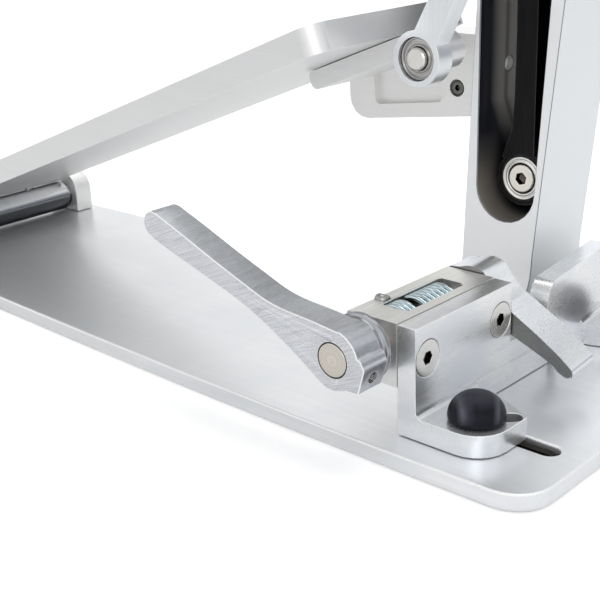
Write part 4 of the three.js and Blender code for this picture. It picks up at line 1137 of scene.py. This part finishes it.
def jaw():
    outline = (shaft_arc(JAW_HUB, 62, 112, 12) + spline(JAW_LUG, 24)
               + shaft_arc(JAW_HUB, 176, 302, 36) + spline(JAW_UNDERSIDE, 20)
               + [JAW_TIP_START] + spline(JAW_TIP, 30)
               + list(reversed(spline(JAW_TOP, 40)))[1:-1] + spline(JAW_NECK, 12))
    arm = prism("jaw_arm", outline, 57, 71.2, JAW)
    # The upper face tips down towards the near side
    for vertex in arm.data.vertices:
        x = vertex.co.x * 1000
        y = vertex.co.y * 1000 + ORIGIN_Y
        z = vertex.co.z * 1000 - PLATE_TOP
        if y < 58 and x > 0.5 and z > 24.5 - 0.47 * (x - 2.5):
            vertex.co.z -= 0.0015 * min(1.0, (x - 0.5) / 3.5)
    boolean(arm, cylinder(at(SHAFT_X, 60, SHAFT_Z), ALONG_Y, SHAFT_BORE, -20, 30, 72))
    boolean(arm, cylinder(at(SHAFT_X - JAW_HUB, 63.6, SHAFT_Z), (-1, 0, 0), 2.3, -6.2, 6, 32))
    break_edges(arm, 0.45, 36, 3, edge=EDGE_HIGHLIGHT)
    place(arm, "clamp_lever", "jaw")


jaw()


# ---------------------------------------------------------------- link bearing and crank pin
def link_bearing():
    """Ball race: plain rims with a stepped shield on the near face."""
    inner, outer, width = 4.15, 7.4, 5
    half, chamfer = width / 2, 0.15
    # (share of the way from inner to outer radius, depth below the near face)
    shield = [(0.22, 0), (0.24, 0.45), (0.30, 0.55), (0.42, 0.28), (0.62, 0.28), (0.72, 0.55),
              (0.77, 0.45), (0.79, 0)]
    profile = [(inner, -half + chamfer), (inner + chamfer, -half)]
    profile += [(inner + (outer - inner) * share, -half + depth) for share, depth in shield]
    profile += [(outer - chamfer, -half), (outer, -half + chamfer), (outer, half - chamfer),
                (outer - chamfer, half), (inner + chamfer, half), (inner, half - chamfer)]
    pos = at(-26.3, 48, 117.4)
    race = lathe("link_bearing_race", profile,
                 steel("race", pos, ALONG_Y, (0.42, 0.41, 0.40), 0.2), pos, ALONG_Y, 72,
                 closed=True)
    shade_smoothly(race)
    place(race, "drive_link", "link_bearing_lower")


link_bearing()

CRANK_PIN = [(0, 0), (5.4, 0), (5.75, -0.15), (5.9, -0.5), (5.9, -1.6), (3.4, -1.6),
             (3.4, -11.6), (4, -11.6), (4, -19.3), (3.7, -19.6), (0, -19.6)]
socketed("crank_pin_turned", "crank_pin", "axle", at(15.11, 42.4, 197.26), TO_NEAR, CRANK_PIN,
         steel("crank_pin", at(15.1, 42, 197.3), TO_NEAR), flats=3.2, depth=1.0, spin=0.0,
         edge=0.1)

# ---------------------------------------------------------------- beater felt
# (radius, height) round the felt ring's section, open at the bore
FELT_SECTION = [(11.5, -12.6), (15, -13.0), (19.5, -12.6), (23.2, -9.8), (25.0, -5), (25.4, 0),
                (25.0, 5), (23.2, 9.8), (19.5, 12.6), (15, 13.0), (11.5, 12.6)]


def beater_felt():
    """A pressed disc with a soft fuzzy surface."""
    felt = lathe("beater_felt_disc", spline(FELT_SECTION, 60), FELT, Vector((0, 0, 0)), UP, 96,
                 closed=True)
    turn = Vector(UP).rotation_difference(BEATER_FORWARD)
    felt.data.transform(Matrix.Translation(HEAD_CENTRE) @ turn.to_matrix().to_4x4())
    # Hole for the rod
    boolean(felt, cylinder(HEAD_CENTRE, BEATER_UP, 5.9, -40, 0, 48))
    remesh = felt.modifiers.new("remesh", "REMESH")
    remesh.mode = "VOXEL"
    remesh.voxel_size = 0.0009
    apply_modifiers(felt)

    clouds = bpy.data.textures.new("fuzz", "CLOUDS")
    clouds.noise_scale = 0.0022
    clouds.noise_depth = 3
    fuzz = felt.modifiers.new("fuzz", "DISPLACE")
    fuzz.texture = clouds
    fuzz.texture_coords = "LOCAL"
    fuzz.strength = 0.0005
    fuzz.mid_level = 0.75
    for face in felt.data.polygons:
        face.use_smooth = True
    felt.data.materials.clear()
    felt.data.materials.append(FELT)
    place(felt, "beater_head", "beater_felt")


beater_felt()


# ---------------------------------------------------------------- stage
def floor():
    reach, height = 6.0, -0.0004
    corners = ((-reach, -reach), (reach, -reach), (reach, reach), (-reach, reach))
    bm = bmesh.new()
    bm.faces.new([bm.verts.new((x, y, height)) for x, y in corners])
    add_object(bm, "floor", pale_floor())


# Brightness against height: 0 straight down, 0.5 the horizon, 1 straight up
SKY = ((0.0, 0.62), (0.44, 0.64), (0.52, 0.85), (0.60, 1.15), (0.70, 1.22), (0.78, 0.80),
       (0.86, 0.52), (1.0, 0.62))
# Dim areas: direction, cosine where each starts and where it is full, strength, colour
DIM_AREAS = (
    ((0.74, 0.66, 0.10), 0.86, 0.97, 0.80, (0.10, 0.12, 0.16)),
    ((-0.95, -0.25, 0.15), 0.90, 0.98, 0.45, (0.16, 0.18, 0.23)),
    ((0.10, 0.86, 0.50), 0.93, 0.99, 0.40, (0.20, 0.23, 0.28)),
)


def studio():
    """Graded studio surroundings; the camera itself sees plain white."""
    world = bpy.data.worlds.new("studio")
    bpy.context.scene.world = world
    world.use_nodes = True
    w = Nodes(world.node_tree)
    direction = w.node("ShaderNodeTexCoord").outputs["Generated"]
    height = w.node("ShaderNodeMath", operation="MULTIPLY_ADD")
    w.feed(w.split(direction)[2], height.inputs[0])
    height.inputs[1].default_value = 0.5
    height.inputs[2].default_value = 0.5

    ramp = w.node("ShaderNodeValToRGB")
    w.feed(height.outputs[0], ramp.inputs[0])
    stops = ramp.color_ramp.elements
    stops[0].position, stops[1].position = SKY[0][0], SKY[-1][0]
    for position, _ in SKY[1:-1]:
        stops.new(position)
    for stop, (_, value) in zip(sorted(stops, key=lambda stop: stop.position), SKY):
        stop.color = (value, value * 1.005, value * 1.015, 1)

    sky = ramp.outputs[0]
    for toward, start, full, strength, color in DIM_AREAS:
        cosine = w.dot(direction, Vector(toward).normalized())
        cover = w.math("DIVIDE", w.sub(cosine, start), full - start, clamp=True)
        sky = w.mix(w.mul(cover, strength), sky, color)
    camera_ray = w.node("ShaderNodeLightPath").outputs["Is Camera Ray"]
    background = w.node("ShaderNodeBackground")
    w.feed(w.mix(camera_ray, sky, (1.0, 1.0, 1.0)), background.inputs[0])
    background.inputs[1].default_value = 1.0
    w.feed(background.outputs[0], w.node("ShaderNodeOutputWorld").inputs[0])


def area_light(name, position, target, width, height, power):
    light = bpy.data.lights.new(name, "AREA")
    light.energy = power
    light.shape = "RECTANGLE"
    light.size = width
    light.size_y = height
    obj = bpy.data.objects.new(name, light)
    bpy.context.scene.collection.objects.link(obj)
    obj.location = position
    aim = Vector(target) - Vector(position)
    obj.rotation_euler = aim.to_track_quat("-Z", "Y").to_euler()


def camera():
    data = bpy.data.cameras.new("camera")
    obj = bpy.data.objects.new("camera", data)
    bpy.context.scene.collection.objects.link(obj)
    turn = Matrix((VIEW_RIGHT, VIEW_UP, -Vector(VIEW_FORWARD))).transposed()
    obj.matrix_world = Matrix.Translation(at(220.870, -281.859, 185.421)) @ turn.to_4x4()
    data.sensor_width = 36
    data.lens = 70.97
    data.clip_start = 0.01
    data.clip_end = 30
    bpy.context.scene.camera = obj


floor()
studio()
area_light("key_top", (-0.15, 0.35, 1.35), (-0.1, 0, 0.05), width=1.1, height=0.8, power=6.5)
area_light("fill_front", (0.9, -1.2, 0.9), (0, 0, 0.05), width=0.9, height=0.8, power=2.5)
camera()

view = bpy.context.scene.view_settings
view.view_transform = "Standard"
view.look = "None"
view.exposure = 0.0
view.gamma = 1.0
